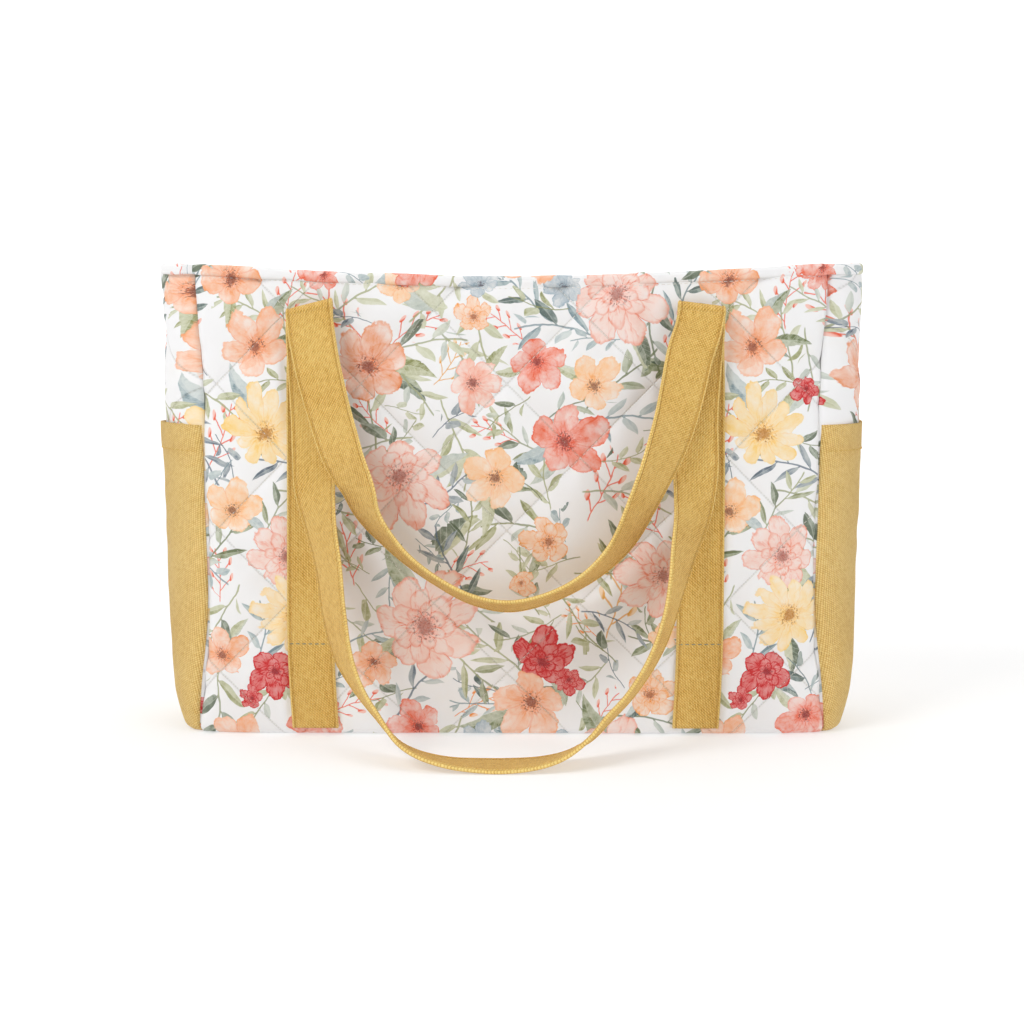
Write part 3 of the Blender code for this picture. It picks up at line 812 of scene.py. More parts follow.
def stitches(name, runs, mat, length=2.9, gap=1.1, radius=0.30, lift=0.12):
    """Lockstitch dashes as small round threads. runs: list of (points, normals) in mm."""
    verts, faces, pq = [], [], []
    for P, Nn in runs:
        P, Nn = np.asarray(P, float), np.asarray(Nn, float)
        seg = np.linalg.norm(np.diff(P, axis=0), axis=1)
        cum = np.concatenate([[0], np.cumsum(seg)])
        total = cum[-1]
        count = int(total / (length + gap))
        if count < 1:
            continue
        step = total / count
        for i in range(count):
            ss = np.array([0.0, 0.18, 0.5, 0.82, 1.0]) * (step - gap) + i * step + gap / 2
            rr = np.array([0.35, 0.92, 1.0, 0.92, 0.35]) * radius
            sink = np.array([-0.30, 0.05, 0.16, 0.05, -0.30])
            pts = np.stack([np.interp(ss, cum, P[:, k]) for k in range(3)], -1)
            nn = np.stack([np.interp(ss, cum, Nn[:, k]) for k in range(3)], -1)
            nn /= np.linalg.norm(nn, axis=1)[:, None]
            t = pts[-1] - pts[0]
            t /= max(1e-9, np.linalg.norm(t))
            sd = np.cross(t, nn)
            sd /= np.linalg.norm(sd, axis=1)[:, None]
            b0 = len(verts)
            for j in range(5):
                for k in range(6):
                    a = k * math.pi / 3
                    verts.append(pts[j] + nn[j] * (lift + sink[j]) + rr[j] * (sd[j] * math.cos(a) + nn[j] * math.sin(a)))
                    pq.append((ss[j], k * 0.3))
            for j in range(4):
                for k in range(6):
                    k2 = (k + 1) % 6
                    faces.append((b0 + j * 6 + k, b0 + j * 6 + k2, b0 + (j + 1) * 6 + k2, b0 + (j + 1) * 6 + k))
            faces.append(tuple(b0 + k for k in range(6))[::-1])
            faces.append(tuple(b0 + 24 + k for k in range(6)))
    return new_object(name, verts, faces, mat, pq)


# ------------------------------------------------------------------ quilted walls
STRAP_X = (-127.3, 120.0)


def strap_centre(k, z):
    z = np.asarray(z, float)
    if k == 0:
        return -127.3 + 0.8 * np.exp(-(z / 25) ** 2) - 0.9 * np.exp(-((z - 62) / 45) ** 2) + 0.5 * np.exp(-((z - 165) / 40) ** 2)
    return 120.0 - 0.9 * np.exp(-(z / 25) ** 2) + 0.5 * np.exp(-((z - 62) / 45) ** 2)


def tuck(z, r=5.5):
    """Bottom edge rolls under."""
    t = np.clip(r - z, 0, r)
    return r - np.sqrt(np.maximum(0.0, r * r - t * t))


def panel_relief(x, z, side):
    seed = 3 if side < 0 else 8
    qd = quilt_distance(x, z)
    puff = 3.3 * (1 - np.exp(-qd / 8.5)) - 1.95
    puck = vnoise(x, z, seed + 1, 9.0) * 0.55 * np.exp(-qd / 8.0) + 0.35 * vnoise(x, z, seed + 9, 17.0)
    edge_d = herm(SEAM_X, z) - np.abs(x)
    seam = -1.2 * np.exp(-(edge_d / 2.6) ** 2) + 0.15 * np.exp(-((edge_d - 8) / 5) ** 2)
    seam += 0.55 * vnoise(x * 0.4, z, seed + 2, 8.0) * np.exp(-(edge_d / 11) ** 2)
    top_d = rim_front(x) - z
    hem = -1.0 * np.exp(-((top_d - 7.5) / 2.0) ** 2) + 0.35 * vnoise(x, z * 0.3, seed + 3, 8.0) * np.exp(-((top_d - 12) / 9) ** 2)
    wave = 1.5 * vnoise(x, z, seed, 62.0) + 0.8 * vnoise(x, z, seed + 5, 31.0)
    wave *= sstep(0, 30, edge_d) * sstep(0, 40, z)
    h = puff + puck + seam + hem + wave
    for k in (0, 1):
        dx = np.abs(x - strap_centre(k, z))
        under = 1 - sstep(14.0, 21.0, dx)
        lip = 0.5 * np.exp(-((dx - 18.5) / 3.0) ** 2)
        h = h * (1 - under) + (-0.35) * under + lip * (1 - under)
        # the lifted loops lie against the cloth above the folds
        zone = (1 - sstep(30.0, 44.0, dx)) * sstep(232, 252, z)
        seat = -0.5 - 1.2 * np.exp(-((z - 272.0) / 8.0) ** 2) * (1 - sstep(18.0, 25.0, dx))
        h = h * (1 - zone) + np.minimum(h, seat) * zone
    return h * sstep(-2, 6, z)


PANEL_STEP = 2.0


def front_back(name, side, node):
    nu = int(404 / PANEL_STEP)
    nv = int(296 / PANEL_STEP)
    U, V = np.meshgrid(np.linspace(-1, 1, nu + 1), np.linspace(0, 1, nv + 1))
    xt = U * 203.4
    zt = rim_front(xt) - 2.5
    zb = 0.3 + 0.6 * (1 - U**2)
    Z = zb + V * (zt - zb)
    X = U * (herm(SEAM_X, Z) - 0.1)
    h = panel_relief(X, Z, side)
    d_out = tuck(Z) - h
    outer = on_panel(X, Z, d_out, side)
    inner = on_panel(X, Z, np.maximum(4.6, tuck(Z) + 3.0), side)
    pq = np.stack([X if side < 0 else 105.0 - X, Z], -1)
    ob = slab(name, outer, inner, pq, M_PRINT, print_it=True, quilt=np.stack([X, Z], -1))
    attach(ob, "root")
    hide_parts(node)
    return ob


front = front_back("front_quilt", -1, "front_panel")
back = front_back("back_quilt", 1, "back_panel")


def gusset_depth(t, z):
    """How far the gusset's cloth lies in: close under the surface above the pocket, slack below."""
    low = 1 - sstep(182, 203, z)
    top = 1 - 0.28 * sstep(262, 299, z)
    return (0.2 + 3.6 * (1 - t**4)) * top + (5.0 * sstep(15, 90, z) * (1 - t**4) + 1.8) * low


def gusset_relief(y, z, side):
    ys = seam_y(z)
    arc = y * 1.25
    qd = quilt_distance(arc + (18 if side > 0 else -30), z)
    puff = 2.2 * (1 - np.exp(-qd / 7.5)) - 1.2
    edge_d = (ys - np.abs(y)) * 1.3
    seam = -1.3 * np.exp(-(edge_d / 3.0) ** 2)
    wr = 0.9 * vnoise(y, z * 0.6, 21 + side, 22.0) + 0.5 * vnoise(y, z, 25 + side, 11.0) * np.exp(-edge_d / 14)
    # soft upright folds where the side is gathered towards the rim
    fold = 0.9 * np.sin(y * 0.19 + 0.6 * side) * sstep(205, 300, z)
    return (puff + seam + wr + fold) * sstep(192, 205, z)


def gusset(name, side, node):
    st = PANEL_STEP
    nu, nv = int(150 / st), int(300 / st)
    T, V = np.meshgrid(np.linspace(-1, 1, nu + 1), np.linspace(0, 1, nv + 1))
    zt = rim_side(T * float(seam_y(300.0))) - 2.5
    Z = 0.7 + V * (zt - 0.7)
    Y = T * (seam_y(Z) - 0.1)
    dep = gusset_depth(T, Z)
    outer = on_gusset(Y, Z, dep + tuck(Z) - gusset_relief(Y, Z, side), side)
    inner = on_gusset(Y, Z, dep + np.maximum(4.6, tuck(Z) + 3.0), side)
    pq = np.stack([Y * 1.3 * side + (262.0 if side > 0 else 395.0), Z + 6.0], -1)
    ob = slab(name, outer, inner, pq, M_PRINT, print_it=True, quilt=np.stack([Y * 1.25 + (18 if side > 0 else -30), Z], -1))
    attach(ob, "root")
    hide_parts(node)
    return ob


gusset("left_side_quilt", -1, "left_gusset")
gusset("right_side_quilt", 1, "right_gusset")


# ------------------------------------------------------------------ lining, base
def lining_panel(name, side, node):
    nu, nv = 90, 70
    U, V = np.meshgrid(np.linspace(-1, 1, nu + 1), np.linspace(0, 1, nv + 1))
    zt = rim_front(U * 203.4) - 3.5
    Z = 9.0 + V * (zt - 9.0)
    X = U * (herm(SEAM_X, Z) + 1.2)
    r = 0.8 * vnoise(X, Z, 31 + side, 34.0) + 0.3 * vnoise(X, Z, 33, 13.0)
    outer = on_panel(X, Z, 5.3 + 0.35 + r * 0.4, side)
    inner = on_panel(X, Z, 6.6 + 0.35 + r, side)
    ob = slab(name, outer, inner, np.stack([X, Z], -1), M_LINING)
    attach(ob, "root")
    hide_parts(node)
    return ob


def lining_side(name, side, node):
    nu, nv = 40, 70
    T, V = np.meshgrid(np.linspace(-1, 1, nu + 1), np.linspace(0, 1, nv + 1))
    zt = rim_side(T * float(seam_y(300.0))) - 3.5
    Z = 9.0 + V * (zt - 9.0)
    Y = T * (seam_y(Z) + 1.0)
    dep = gusset_depth(np.clip(T, -1, 1), Z)
    r = 0.8 * vnoise(Y, Z, 41 + side, 30.0)
    outer = on_gusset(Y, Z, dep + 5.3 + 0.35 + r * 0.4, side)
    inner = on_gusset(Y, Z, dep + 6.6 + 0.35 + r, side)
    ob = slab(name, outer, inner, np.stack([Y, Z], -1), M_LINING)
    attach(ob, "root")
    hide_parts(node)
    return ob


lining_panel("lining_cloth_front", -1, "lining_front")
lining_panel("lining_cloth_back", 1, "lining_back")
lining_side("lining_cloth_left", -1, "lining_left")
lining_side("lining_cloth_right", 1, "lining_right")


def outline(z, d, per_panel=90, per_side=36):
    xs, ys = float(herm(SEAM_X, z)), float(seam_y(z))
    f = np.arange(per_panel) / per_panel
    g = np.arange(per_side) / per_side
    zz = np.full(per_panel, z)
    zs = np.full(per_side, z)
    return np.vstack([on_panel(-xs + 2 * xs * f, zz, d, -1), on_gusset(-ys + 2 * ys * g, zs, d, 1),
                      on_panel(xs - 2 * xs * f, zz, d, 1), on_gusset(ys - 2 * ys * g, zs, d, -1)])


def plate(name, layers, mat, print_it=False, rings=14, relief=None):
    """Stack of outlines (z, inset) from bottom edge to top edge, filled to the middle."""
    loops = [outline(max(z, 0.0), d) for z, d in layers]
    for L, (z, d) in zip(loops, layers):
        L[:, 2] = z
    m = len(loops[0])
    verts = [np.array([[0.0, 0.0, layers[0][0]]])]
    seq = [loops[0] * np.array([k / rings, k / rings, 1.0]) for k in range(1, rings)] + loops \
        + [loops[-1] * np.array([k / rings, k / rings, 1.0]) for k in range(rings - 1, 0, -1)]
    verts += seq + [np.array([[0.0, 0.0, layers[-1][0]]])]
    V = np.vstack(verts)
    if relief is not None:
        V = relief(V)
    faces = []
    for k in range(m):
        faces.append((0, 1 + (k + 1) % m, 1 + k))
    for j in range(len(seq) - 1):
        for k in range(m):
            k2 = (k + 1) % m
            faces.append((1 + j * m + k, 1 + j * m + k2, 1 + (j + 1) * m + k2, 1 + (j + 1) * m + k))
    last = 1 + (len(seq) - 1) * m
    tip = len(V) - 1
    for k in range(m):
        faces.append((last + k, last + (k + 1) % m, tip))
    return new_object(name, V, faces, mat, V[:, :2] + np.array([40.0, 150.0]), print_it)


def base_relief(V):
    low = V[:, 2] < 1.0
    qd = quilt_distance(V[:, 0], V[:, 1])
    V[low, 2] += (0.7 * np.exp(-(qd / 5.0) ** 1.4))[low]
    return V


base = plate("base_quilt", [(0.25, 10.5), (0.6, 8.9), (1.5, 8.1), (3.5, 8.0), (4.6, 8.2)], M_PRINT, True, 22, base_relief)
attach(base, "root"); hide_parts("base_panel")


def lining_base_relief(V):
    top = V[:, 2] > 8.4
    V[top, 2] += (0.35 * vnoise(V[:, 0], V[:, 1], 51, 26.0) + 0.25)[top]
    return V


lb = plate("lining_cloth_base", [(7.8, 9.6), (8.3, 9.3), (8.9, 9.5)], M_LINING, False, 16, lining_base_relief)
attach(lb, "root"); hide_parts("lining_base")

# ------------------------------------------------------------------ folded hem round the mouth
HEM = [(-0.4, 7.4), (-1.35, 6.9), (-1.75, 5.6), (-1.8, 4.0), (-1.7, 2.3), (-1.2, 1.0), (0.2, 0.15), (2.2, -0.1),
       (4.4, 0.1), (6.4, 0.8), (7.6, 2.0), (8.2, 3.8), (8.2, 6.0), (7.6, 8.2), (6.6, 8.6), (5.2, 6.0), (2.0, 5.0)]


def hem():
    per = 150
    xs, ys = SEAM_X[-1], float(seam_y(300.0))
    pts, pq = [], []
    f = np.arange(per) / per
    gq = np.arange(int(per * 0.3)) / int(per * 0.3)
    walk = []
    walk += [("p", -1, -xs + 2 * xs * t) for t in f] + [("g", 1, -ys + 2 * ys * t) for t in gq]
    walk += [("p", 1, xs - 2 * xs * t) for t in f] + [("g", -1, ys - 2 * ys * t) for t in gq]
    s = 0.0
    prev = None
    for kind, side, v in walk:
        row, prow = [], []
        for d, drop in HEM:
            if kind == "p":
                top = float(rim_front(v))
                q = on_panel(np.array(v), np.array(300.0), d, side)
            else:
                top = float(rim_side(v))
                q = on_gusset(np.array(v), np.array(300.0), d + 2.7 * (1 - (v / ys) ** 4), side)
            row.append([q[0], q[1], top - drop])
        row = np.array(row)
        c = row[:, :2].mean(0)
        if prev is not None:
            s += float(np.linalg.norm(c - prev))
        prev = c
        pts.append(row)
        pq.append(s)
    P = np.array(pts)
    n, m = P.shape[:2]
    cen = P.mean(1, keepdims=True)
    s = np.array(pq)
    # plump between the topstitches, with a nip at each of the four seams
    swell = 1 + 0.06 * vnoise(s, s * 0, 61, 16.0) + 0.05 * vnoise(s, s * 0 + 40, 62, 6.0)
    seams = [0, per, per + len(gq), 2 * per + len(gq)]
    for k in seams:
        dist = np.minimum(np.abs(s - s[k]), s[-1] - np.abs(s - s[k]))
        swell -= 0.14 * np.exp(-(dist / 3.0) ** 2)
    P = cen + (P - cen) * swell[:, None, None]
    P[:, :, 2] += (0.35 * vnoise(s, s * 0, 63, 42.0))[:, None]
    per_len = np.concatenate([[0], np.cumsum(np.linalg.norm(np.diff(P[0], axis=0), axis=1))])
    PQ = np.empty((n, m, 2))
    PQ[:, :, 0] = s[:, None] - 203.6
    PQ[:, :, 1] = 299.0 + per_len[None, :] - 6.0
    faces = []
    for i in range(n):
        i2 = (i + 1) % n
        for k in range(m):
            k2 = (k + 1) % m
            faces.append((i * m + k, i * m + k2, i2 * m + k2, i2 * m + k))
    ob = new_object("rim_hem", P.reshape(-1, 3), faces, M_PRINT, PQ.reshape(-1, 2), True)
    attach(ob, "root"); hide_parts("top_binding")
    return P


HEM_P = hem()


# ------------------------------------------------------------------ side pockets
def side_pocket(name, side, node):
    nu, nv = (70, 100)
    T, V = np.meshgrid(np.linspace(-1, 1, nu + 1), np.linspace(0, 1, nv + 1))
    top = 200.6 + 2.6 * (1 - T * T) + 0.5 * np.sin(T * 5 + side)
    Z = 0.4 + V * (top - 0.4)
    Y = T * (seam_y(Z) - 0.6)
    below = top - Z
    hemline = 0.45 * (1 - sstep(17.5, 20.5, below))
    groove = -0.45 * np.exp(-((below - 18.2) / 0.9) ** 2)
    edge = (seam_y(Z) - np.abs(Y)) * 1.3
    wr = 0.8 * vnoise(Y, Z * 0.7, 71 + side, 30.0) + 0.35 * vnoise(Y, Z, 73 + side, 12.0)
    wr *= sstep(0, 22, edge)
    slump = 1.0 * np.exp(-((Z - 150) / 60) ** 2) * (1 - T * T) * np.sin(Z * 0.045 + side)
    seam = -0.9 * np.exp(-(edge / 2.6) ** 2)
    lip = 1.1 * (1 - T**2) * (1 - sstep(0, 40, below))
    h = hemline + groove + wr + seam + slump * 0.5 + lip
    d_out = tuck(Z) + 0.1 + 2.0 * (1 - T**4) - h
    outer = on_gusset(Y, Z, d_out, side)
    inner = on_gusset(Y, Z, d_out + 1.3 + hemline * 0.7, side)
    pq = np.stack([Y * 1.3, Z], -1)
    ob = slab(name, outer, inner, pq, M_CANVAS)
    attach(ob, "root"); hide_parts(node)
    # hem stitching across the mouth
    t = np.linspace(-0.97, 0.97, 90)
    runs = []
    for off in (16.9,):
        tz = 200.6 + 2.6 * (1 - t * t) + 0.5 * np.sin(t * 5 + side) - off
        yy = t * (seam_y(tz) - 0.6)
        hh = 0.45 + 1.1 * (1 - t**2) * (1 - sstep(0, 40, off)) + (0.8 * vnoise(yy, tz * 0.7, 71 + side, 30.0)
             + 0.35 * vnoise(yy, tz, 73 + side, 12.0)) * sstep(0, 22, (seam_y(tz) - np.abs(yy)) * 1.3)
        p = on_gusset(yy, tz, 0.1 + 2.0 * (1 - t**4) - hh, side)
        q = on_gusset(yy, tz, 0.1 + 2.0 * (1 - t**4) - hh - 1.0, side)
        runs.append((p, q - p))
    st = stitches(name + "_stitching", runs, M_THREAD_Y)
    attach(st, "root")
    return ob


side_pocket("left_pocket_cloth", -1, "left_side_pocket")
side_pocket("right_pocket_cloth", 1, "right_side_pocket")

# ------------------------------------------------------------------ webbing
HALF = 15.0


def web_profile(scale=1.0):
    ts = [-15.0, -14.85, -14.4, -13.8, -13.2, -12.75, -12.3, -11.6, -9.0, -5.0, 0.0,
          5.0, 9.0, 11.6, 12.3, 12.75, 13.2, 13.8, 14.4, 14.85, 15.0]

    def top(t):
        a = abs(t)
        h = 1.05
        h += 0.34 * math.exp(-((a - 13.8) / 0.75) ** 2)
        h -= 0.34 * math.exp(-((a - 12.7) / 0.55) ** 2)
        if a > 14.2:
            h *= math.sqrt(max(0.0, 1 - ((a - 14.2) / 0.82) ** 2)) if a < 15.0 else 0.22
        return h
    up = [(t, top(t)) for t in ts]
    dn = [(t, -top(t)) for t in reversed(ts)]
    return up + dn


WEB = web_profile()

LONG_ROUTE = [
    (-127.3, 58.0, 273.0, 13, 0), (-127.2, 60.4, 260.0, 8, 2), (-126.0, 64.0, 240.0, 3, 5),
    (-124.0, 69.0, 210.0, 0, 10), (-123.2, 72.8, 184.0, 0, 16), (-123.0, 76.2, 166.0, 1, 24),
    (-118.6, 83.5, 140.0, 10, 43), (-113.0, 90.0, 114.0, 15, 51), (-109.5, 95.5, 88.0, 18, 54),
    (-104.0, 102.0, 64.0, 20, 60), (-95.0, 109.5, 45.5, 28, 69), (-82.0, 118.0, 28.5, 34, 75),
    (-65.0, 129.0, 12.0, 46, 79), (-43.0, 136.5, 4.4, 70, 84), (-6.0, 139.0, 1.7, 90, 90),
    (27.0, 136.5, 5.4, 110, 84), (46.0, 129.5, 14.5, 124, 77), (59.0, 121.5, 25.7, 134, 74),
    (72.4, 114.0, 38.4, 143, 74), (84.3, 107.0, 54.7, 150, 73), (93.0, 100.5, 71.3, 157, 71),
    (99.0, 95.0, 88.3, 161, 69), (103.5, 90.0, 106.0, 165, 63), (107.5, 85.0, 124.0, 169, 53),
    (113.2, 79.5, 146.0, 174, 35), (115.8, 73.6, 176.0, 179, 13), (115.2, 70.0, 204.0, 180, 9),
    (117.5, 64.5, 238.0, 178, 4), (119.6, 60.4, 260.0, 175, 1), (120.0, 58.0, 273.0, 172, 0)]
SHORT_ROUTE = [
    (-127.3, 61.7, 273.0, 14, 0), (-125.9, 64.6, 263.0, 14, 2), (-124.2, 67.6, 254.0, 13, 5), (-120.6, 72.0, 237.0, 13, 10),
    (-115.8, 77.0, 219.0, 14, 16), (-109.5, 83.5, 199.0, 16, 22), (-102.4, 91.3, 181.0, 18, 30),
    (-94.8, 94.0, 165.0, 20, 41), (-90.4, 92.4, 152.0, 27, 52), (-84.5, 91.8, 141.5, 35, 61),
    (-76.0, 90.0, 131.0, 39, 68), (-64.0, 89.5, 119.0, 45, 73), (-45.0, 89.0, 105.0, 54, 75),
    (-24.0, 88.5, 94.0, 70, 73), (-1.0, 88.5, 89.7, 90, 71), (23.0, 88.5, 94.8, 110, 72),
    (42.7, 89.0, 104.4, 128, 71), (59.0, 89.5, 117.6, 143, 65), (71.5, 90.0, 133.0, 152, 57),
    (82.8, 92.8, 158.0, 157, 47), (91.4, 92.6, 178.0, 161, 38), (101.0, 84.6, 203.0, 164, 25),
    (107.0, 77.0, 225.0, 167, 15), (111.8, 71.5, 246.0, 171, 8), (117.4, 65.2, 262.0, 172, 2), (120.0, 61.7, 273.0, 173, 0)]
AXIS_Y, AXIS_Z, FOLD_R = 58.0, 273.0, 3.7


def catmull(rows, count):
    r = np.array(rows, float)
    r = np.vstack([2 * r[0] - r[1], r, 2 * r[-1] - r[-2]])
    # centripetal-like: weight the parameter by chord so the curve has no wiggles
    ch = np.linalg.norm(np.diff(r[:, :3], axis=0), axis=1) ** 0.5
    k = np.concatenate([[0], np.cumsum(ch)])
    s = np.linspace(k[1], k[-2], count * 4)
    out = np.empty((len(s), r.shape[1]))
    for j, t in enumerate(s):
        i = min(max(int(np.searchsorted(k, t, side="right")) - 1, 1), len(r) - 3)
        t0, t1, t2, t3 = k[i - 1], k[i], k[i + 1], k[i + 2]
        p0, p1, p2, p3 = r[i - 1], r[i], r[i + 1], r[i + 2]
        a1 = (t1 - t) / (t1 - t0) * p0 + (t - t0) / (t1 - t0) * p1
        a2 = (t2 - t) / (t2 - t1) * p1 + (t - t1) / (t2 - t1) * p2
        a3 = (t3 - t) / (t3 - t2) * p2 + (t - t2) / (t3 - t2) * p3
        b1 = (t2 - t) / (t2 - t0) * a1 + (t - t0) / (t2 - t0) * a2
        b2 = (t3 - t) / (t3 - t1) * a2 + (t - t1) / (t3 - t1) * a3
        out[j] = (t2 - t) / (t2 - t1) * b1 + (t - t1) / (t2 - t1) * b2
    # light smoothing keeps webbing stiff, then even spacing
    for _ in range(30):
        out[1:-1] = 0.5 * out[1:-1] + 0.25 * (out[:-2] + out[2:])
    d = np.concatenate([[0], np.cumsum(np.linalg.norm(np.diff(out[:, :3], axis=0), axis=1))])
    t = np.linspace(0, d[-1], count)
    return np.stack([np.interp(t, d, out[:, c]) for c in range(out.shape[1])], -1), t


def frames_of(rows, count):
    pts, s = catmull(rows, count)
    C = np.stack([pts[:, 0], -pts[:, 1], pts[:, 2]], 1)
    turn, lean = np.radians(pts[:, 3]), np.radians(pts[:, 4])
    W = np.stack([np.cos(turn) * np.cos(lean), -np.sin(lean), np.sin(turn) * np.cos(lean)], 1)
    T = np.gradient(C, axis=0)
    T /= np.linalg.norm(T, axis=1)[:, None]
    W -= (W * T).sum(1)[:, None] * T
    W /= np.linalg.norm(W, axis=1)[:, None]
    return C, W, np.cross(T, W), s


def face_flip(A, face):
    A = A.copy()
    A[..., 1] *= face
    return A


def edge_runs(C, W, N, t_off, h, face, i0=0, i1=None):
    """Stitch lines on both faces of a strap, t_off from the middle."""
    runs = []
    sl = slice(i0, i1)
    for t in (-t_off, t_off):
        for sgn in (1.0, -1.0):
            P = C[sl] + W[sl] * t + N[sl] * (h * sgn)
            runs.append((face_flip(P, face), face_flip(N[sl] * sgn, face)))
    return runs


def loop(word, which, rows, face):
    body = f"{word}_{which}_handle"
    C, W, N, s = frames_of(rows, 440)
    if which == "short":
        for i, tilt in ((0, 14.0), (-1, -7.0)):
            near = 1 - sstep(0.0, 24.0, np.abs(s - s[i]))
            sg = 1.0 if i == 0 else -1.0
            end = sg * np.array([math.cos(math.radians(tilt)), 0.0, math.sin(math.radians(tilt))])
            W = W * (1 - near)[:, None] + end * near[:, None]
            N = N * (1 - near)[:, None] + np.array([0.0, -1.0, 0.0]) * near[:, None]
    # the cloth is not dead flat: slight roll of the width and thickness
    roll = 0.25 * vnoise(s, s * 0, 81 + len(which), 26.0) * sstep(0, 20, s) * sstep(0, 20, s[-1] - s)
    C = C + N * roll[:, None]
    if which == "long":
        low = (C[:, 2] - 15 * np.abs(W[:, 2]) - 1.35 * np.abs(N[:, 2]))
        C[:, 2] += np.maximum(0.0, 0.15 - low)
        # rounded, sewn-in end at the fold line
        first, last = C[0].copy(), C[-1].copy()
        C = np.vstack([first + np.array([0, 0, 1.0]), C, last + np.array([0, 0, 1.0])])
        W = np.vstack([W[:1], W, W[-1:]])
        N = np.vstack([[0, -1.0, 0], N, [0, -1.0, 0]])
        s = np.concatenate([[s[0] - 1.0], s, [s[-1] + 1.0]])
    ob = tube_mesh(f"{word}_{which}_loop", face_flip(C, face), face_flip(W, face), face_flip(N, face), WEB, M_WEB, s + (0 if which == "long" else 1000))
    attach(ob, body)
    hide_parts(body)
    length = float(s[-1] - s[0]) * MM
    st = stitches(f"{word}_{which}_loop_stitching", edge_runs(C, W, N, 12.6, 0.92, face, 4, -4), M_THREAD_Y, radius=0.30)
    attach(st, body)
    return length


def sewn(word, k, face):
    """Strap sewn up the face, carried over the fold line into the short loop."""
    tag = "left" if k == 0 else "right"
    z = np.linspace(5.3, 267.5, 170)
    x0 = strap_centre(k, z)
    ease = sstep(225, 268, z)
    P = on_panel(x0, z, -1.25 + tuck(z) * 0.9, -1)
    C = P.copy()
    C[:, 1] = P[:, 1] * (1 - ease) + (-(AXIS_Y - FOLD_R)) * ease
    C[:, 0] = x0 * (1 - ease) + STRAP_X[k] * ease
    slope = (on_panel(x0 + 5, z, 0, -1) - on_panel(x0 - 5, z, 0, -1))
    slope /= np.linalg.norm(slope, axis=1)[:, None]
    tilt = math.radians(14.0 if k == 0 else -7.0)
    kz = sstep(215, 266, z) * tilt
    W = slope * (1 - ease)[:, None] + np.stack([np.cos(kz), 0 * kz, np.sin(kz)], 1) * ease[:, None]
    th = np.radians(np.linspace(-90, 90, 34))
    A = np.stack([np.full(len(th), STRAP_X[k]), -AXIS_Y - FOLD_R * np.sin(th), AXIS_Z + FOLD_R * np.cos(th)], 1)
    WA = np.tile([math.cos(tilt), 0.0, math.sin(tilt)], (len(th), 1))
    lead = np.linspace(267.5, AXIS_Z, 6)[1:-1]
    B = np.stack([np.full(len(lead), STRAP_X[k]), np.full(len(lead), -(AXIS_Y - FOLD_R)), lead], 1)
    WB = np.tile([math.cos(tilt), 0.0, math.sin(tilt)], (len(lead), 1))
    C = np.vstack([C, B, A])
    W = np.vstack([W, WB, WA])
    T = np.gradient(C, axis=0)
    T /= np.linalg.norm(T, axis=1)[:, None]
    # keep the width direction but square the face to the route
    N = np.cross(T, W)
    N /= np.linalg.norm(N, axis=1)[:, None]
    s = np.concatenate([[0], np.cumsum(np.linalg.norm(np.diff(C, axis=0), axis=1))])
    ob = tube_mesh(f"{word}_{tag}_webbing", face_flip(C, face), face_flip(W, face), face_flip(N, face), WEB, M_WEB, s)
    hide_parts(f"{word}_{tag}_strap")
    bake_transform(ob)
    n0 = 166
    runs = edge_runs(C[2:n0], W[2:n0], N[2:n0], 12.6, 0.92, face)
    st = stitches(f"{word}_{tag}_webbing_stitching", [runs[1], runs[3]], M_THREAD_Y, radius=0.30)
    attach(st, "root")
    # bar of stitching across the strap
    runs = []
    for zz in (61.5,):
        t = np.linspace(-14.2, 14.2, 20)
        cx = float(strap_centre(k, zz))
        p = on_panel(cx + t, np.full(20, zz), -2.25, -1)
        q = on_panel(cx + t, np.full(20, zz), -3.25, -1)
        runs.append((face_flip(p, face), face_flip(q - p, face)))
    st = stitches(f"{word}_{tag}_bar_stitching", runs, M_THREAD_G, radius=0.34)
    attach(st, "root")


for face, word in ((1, "front"), (-1, "back")):
    for k in (0, 1):
        sewn(word, k, face)
    for which, rws in (("long", LONG_ROUTE), ("short", SHORT_ROUTE)):
        loop(word, which, rws, face)


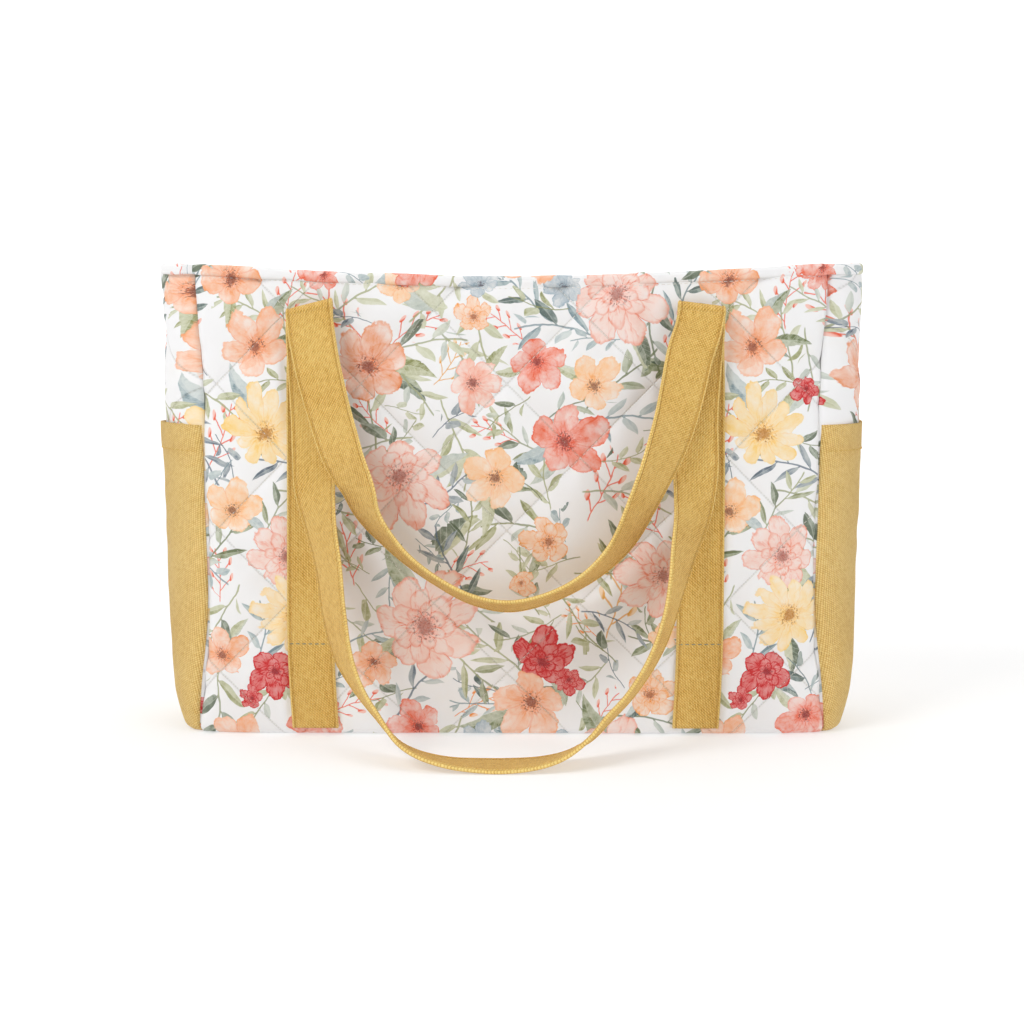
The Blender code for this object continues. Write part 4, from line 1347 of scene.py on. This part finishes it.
# ------------------------------------------------------------------ quilting and hem thread
def quilt_stitches(name, side):
    runs = []
    for k in range(-12, 13):
        for sg in (1, -1):
            # line: (x - QX) + sg * (z - QZ) = k * QUILT
            z = np.linspace(5, 292, 240)
            x = QX + k * QUILT - sg * (z - QZ)
            ok = (np.abs(x) < herm(SEAM_X, z) - 2.5) & (z < rim_front(x) - 7.5)
            for j in (0, 1):
                ok &= np.abs(x - strap_centre(j, z)) > 15.3
            idx = np.nonzero(ok)[0]
            if len(idx) < 4:
                continue
            for grp in np.split(idx, np.nonzero(np.diff(idx) > 1)[0] + 1):
                if len(grp) < 4:
                    continue
                xx, zz = x[grp], z[grp]
                h = panel_relief(xx, zz, side)
                p = on_panel(xx, zz, tuck(zz) - h - 0.02, side)
                q = on_panel(xx, zz, tuck(zz) - h - 1.0, side)
                runs.append((p, q - p))
    x = np.linspace(-198, 198, 400)
    z = rim_front(x) - 7.9
    h = panel_relief(x, z, side)
    p = on_panel(x, z, -h - 0.05, side)
    q = on_panel(x, z, -h - 1.0, side)
    runs.append((p, q - p))
    ob = stitches(name, runs, M_THREAD_W, length=2.6, gap=1.0, radius=0.20, lift=0.0)
    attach(ob, "root")


quilt_stitches("front_quilting_thread", -1)
quilt_stitches("back_quilting_thread", 1)

# base board keeps its CAD shape
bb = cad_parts["base_board"]
if not bb.material_slots:
    bb.data.materials.append(M_BOARD)
for slot in bb.material_slots:
    slot.material = M_BOARD

# ------------------------------------------------------------------ floor and backdrop, one pale bowl that glows as painted light, brightest on the wall behind the bag
def bowl():
    prof = [(0.0, 0.0), (1.0, 0.0), (2.6, 0.0)] + [(2.6 + 1.6 * math.sin(a), 1.6 - 1.6 * math.cos(a))
                                                     for a in np.radians(np.arange(9, 91, 9))] + [(4.2, 5.0)]
    m, v, f, glow = 96, [], [], []
    for r, z in prof[1:]:
        for k in range(m):
            a = 2 * math.pi * k / m
            v.append((r * math.cos(a), r * math.sin(a), z))
            # painted light: the bowl's own emission, even on the floor, brightest up the back wall and dim at the front
            back = 0.5 + 0.5 * math.sin(a)
            up = min(1.0, max(0.0, (r - 2.0) / 1.5))
            glow.append(0.44 * (1 - up) + up * (0.08 + 0.78 * back ** 1.5))
    f.append(tuple(range(m)))
    for j in range(len(prof) - 2):
        for k in range(m):
            k2 = (k + 1) % m
            f.append((j * m + k2, j * m + k, (j + 1) * m + k, (j + 1) * m + k2))
    me = bpy.data.meshes.new("backdrop")
    me.from_pydata(v, [], f)
    me.shade_smooth()
    at = me.attributes.new("glow", "FLOAT", "POINT")
    at.data.foreach_set("value", np.array(glow, np.float32))
    ob = bpy.data.objects.new("backdrop", me)
    bpy.context.scene.collection.objects.link(ob)
    g = G("m_backdrop")
    b = g.bsdf
    b.inputs["Base Color"].default_value = (0.58, 0.58, 0.58, 1)
    b.inputs["Roughness"].default_value = 1.0
    b.inputs["Specular IOR Level"].default_value = 0.0
    b.inputs["Emission Color"].default_value = (1, 1, 1, 1)
    n = g.node("ShaderNodeAttribute", attribute_name="glow")
    g.nt.links.new(n.outputs["Fac"], b.inputs["Emission Strength"])
    me.materials.append(g.mat)


bowl()
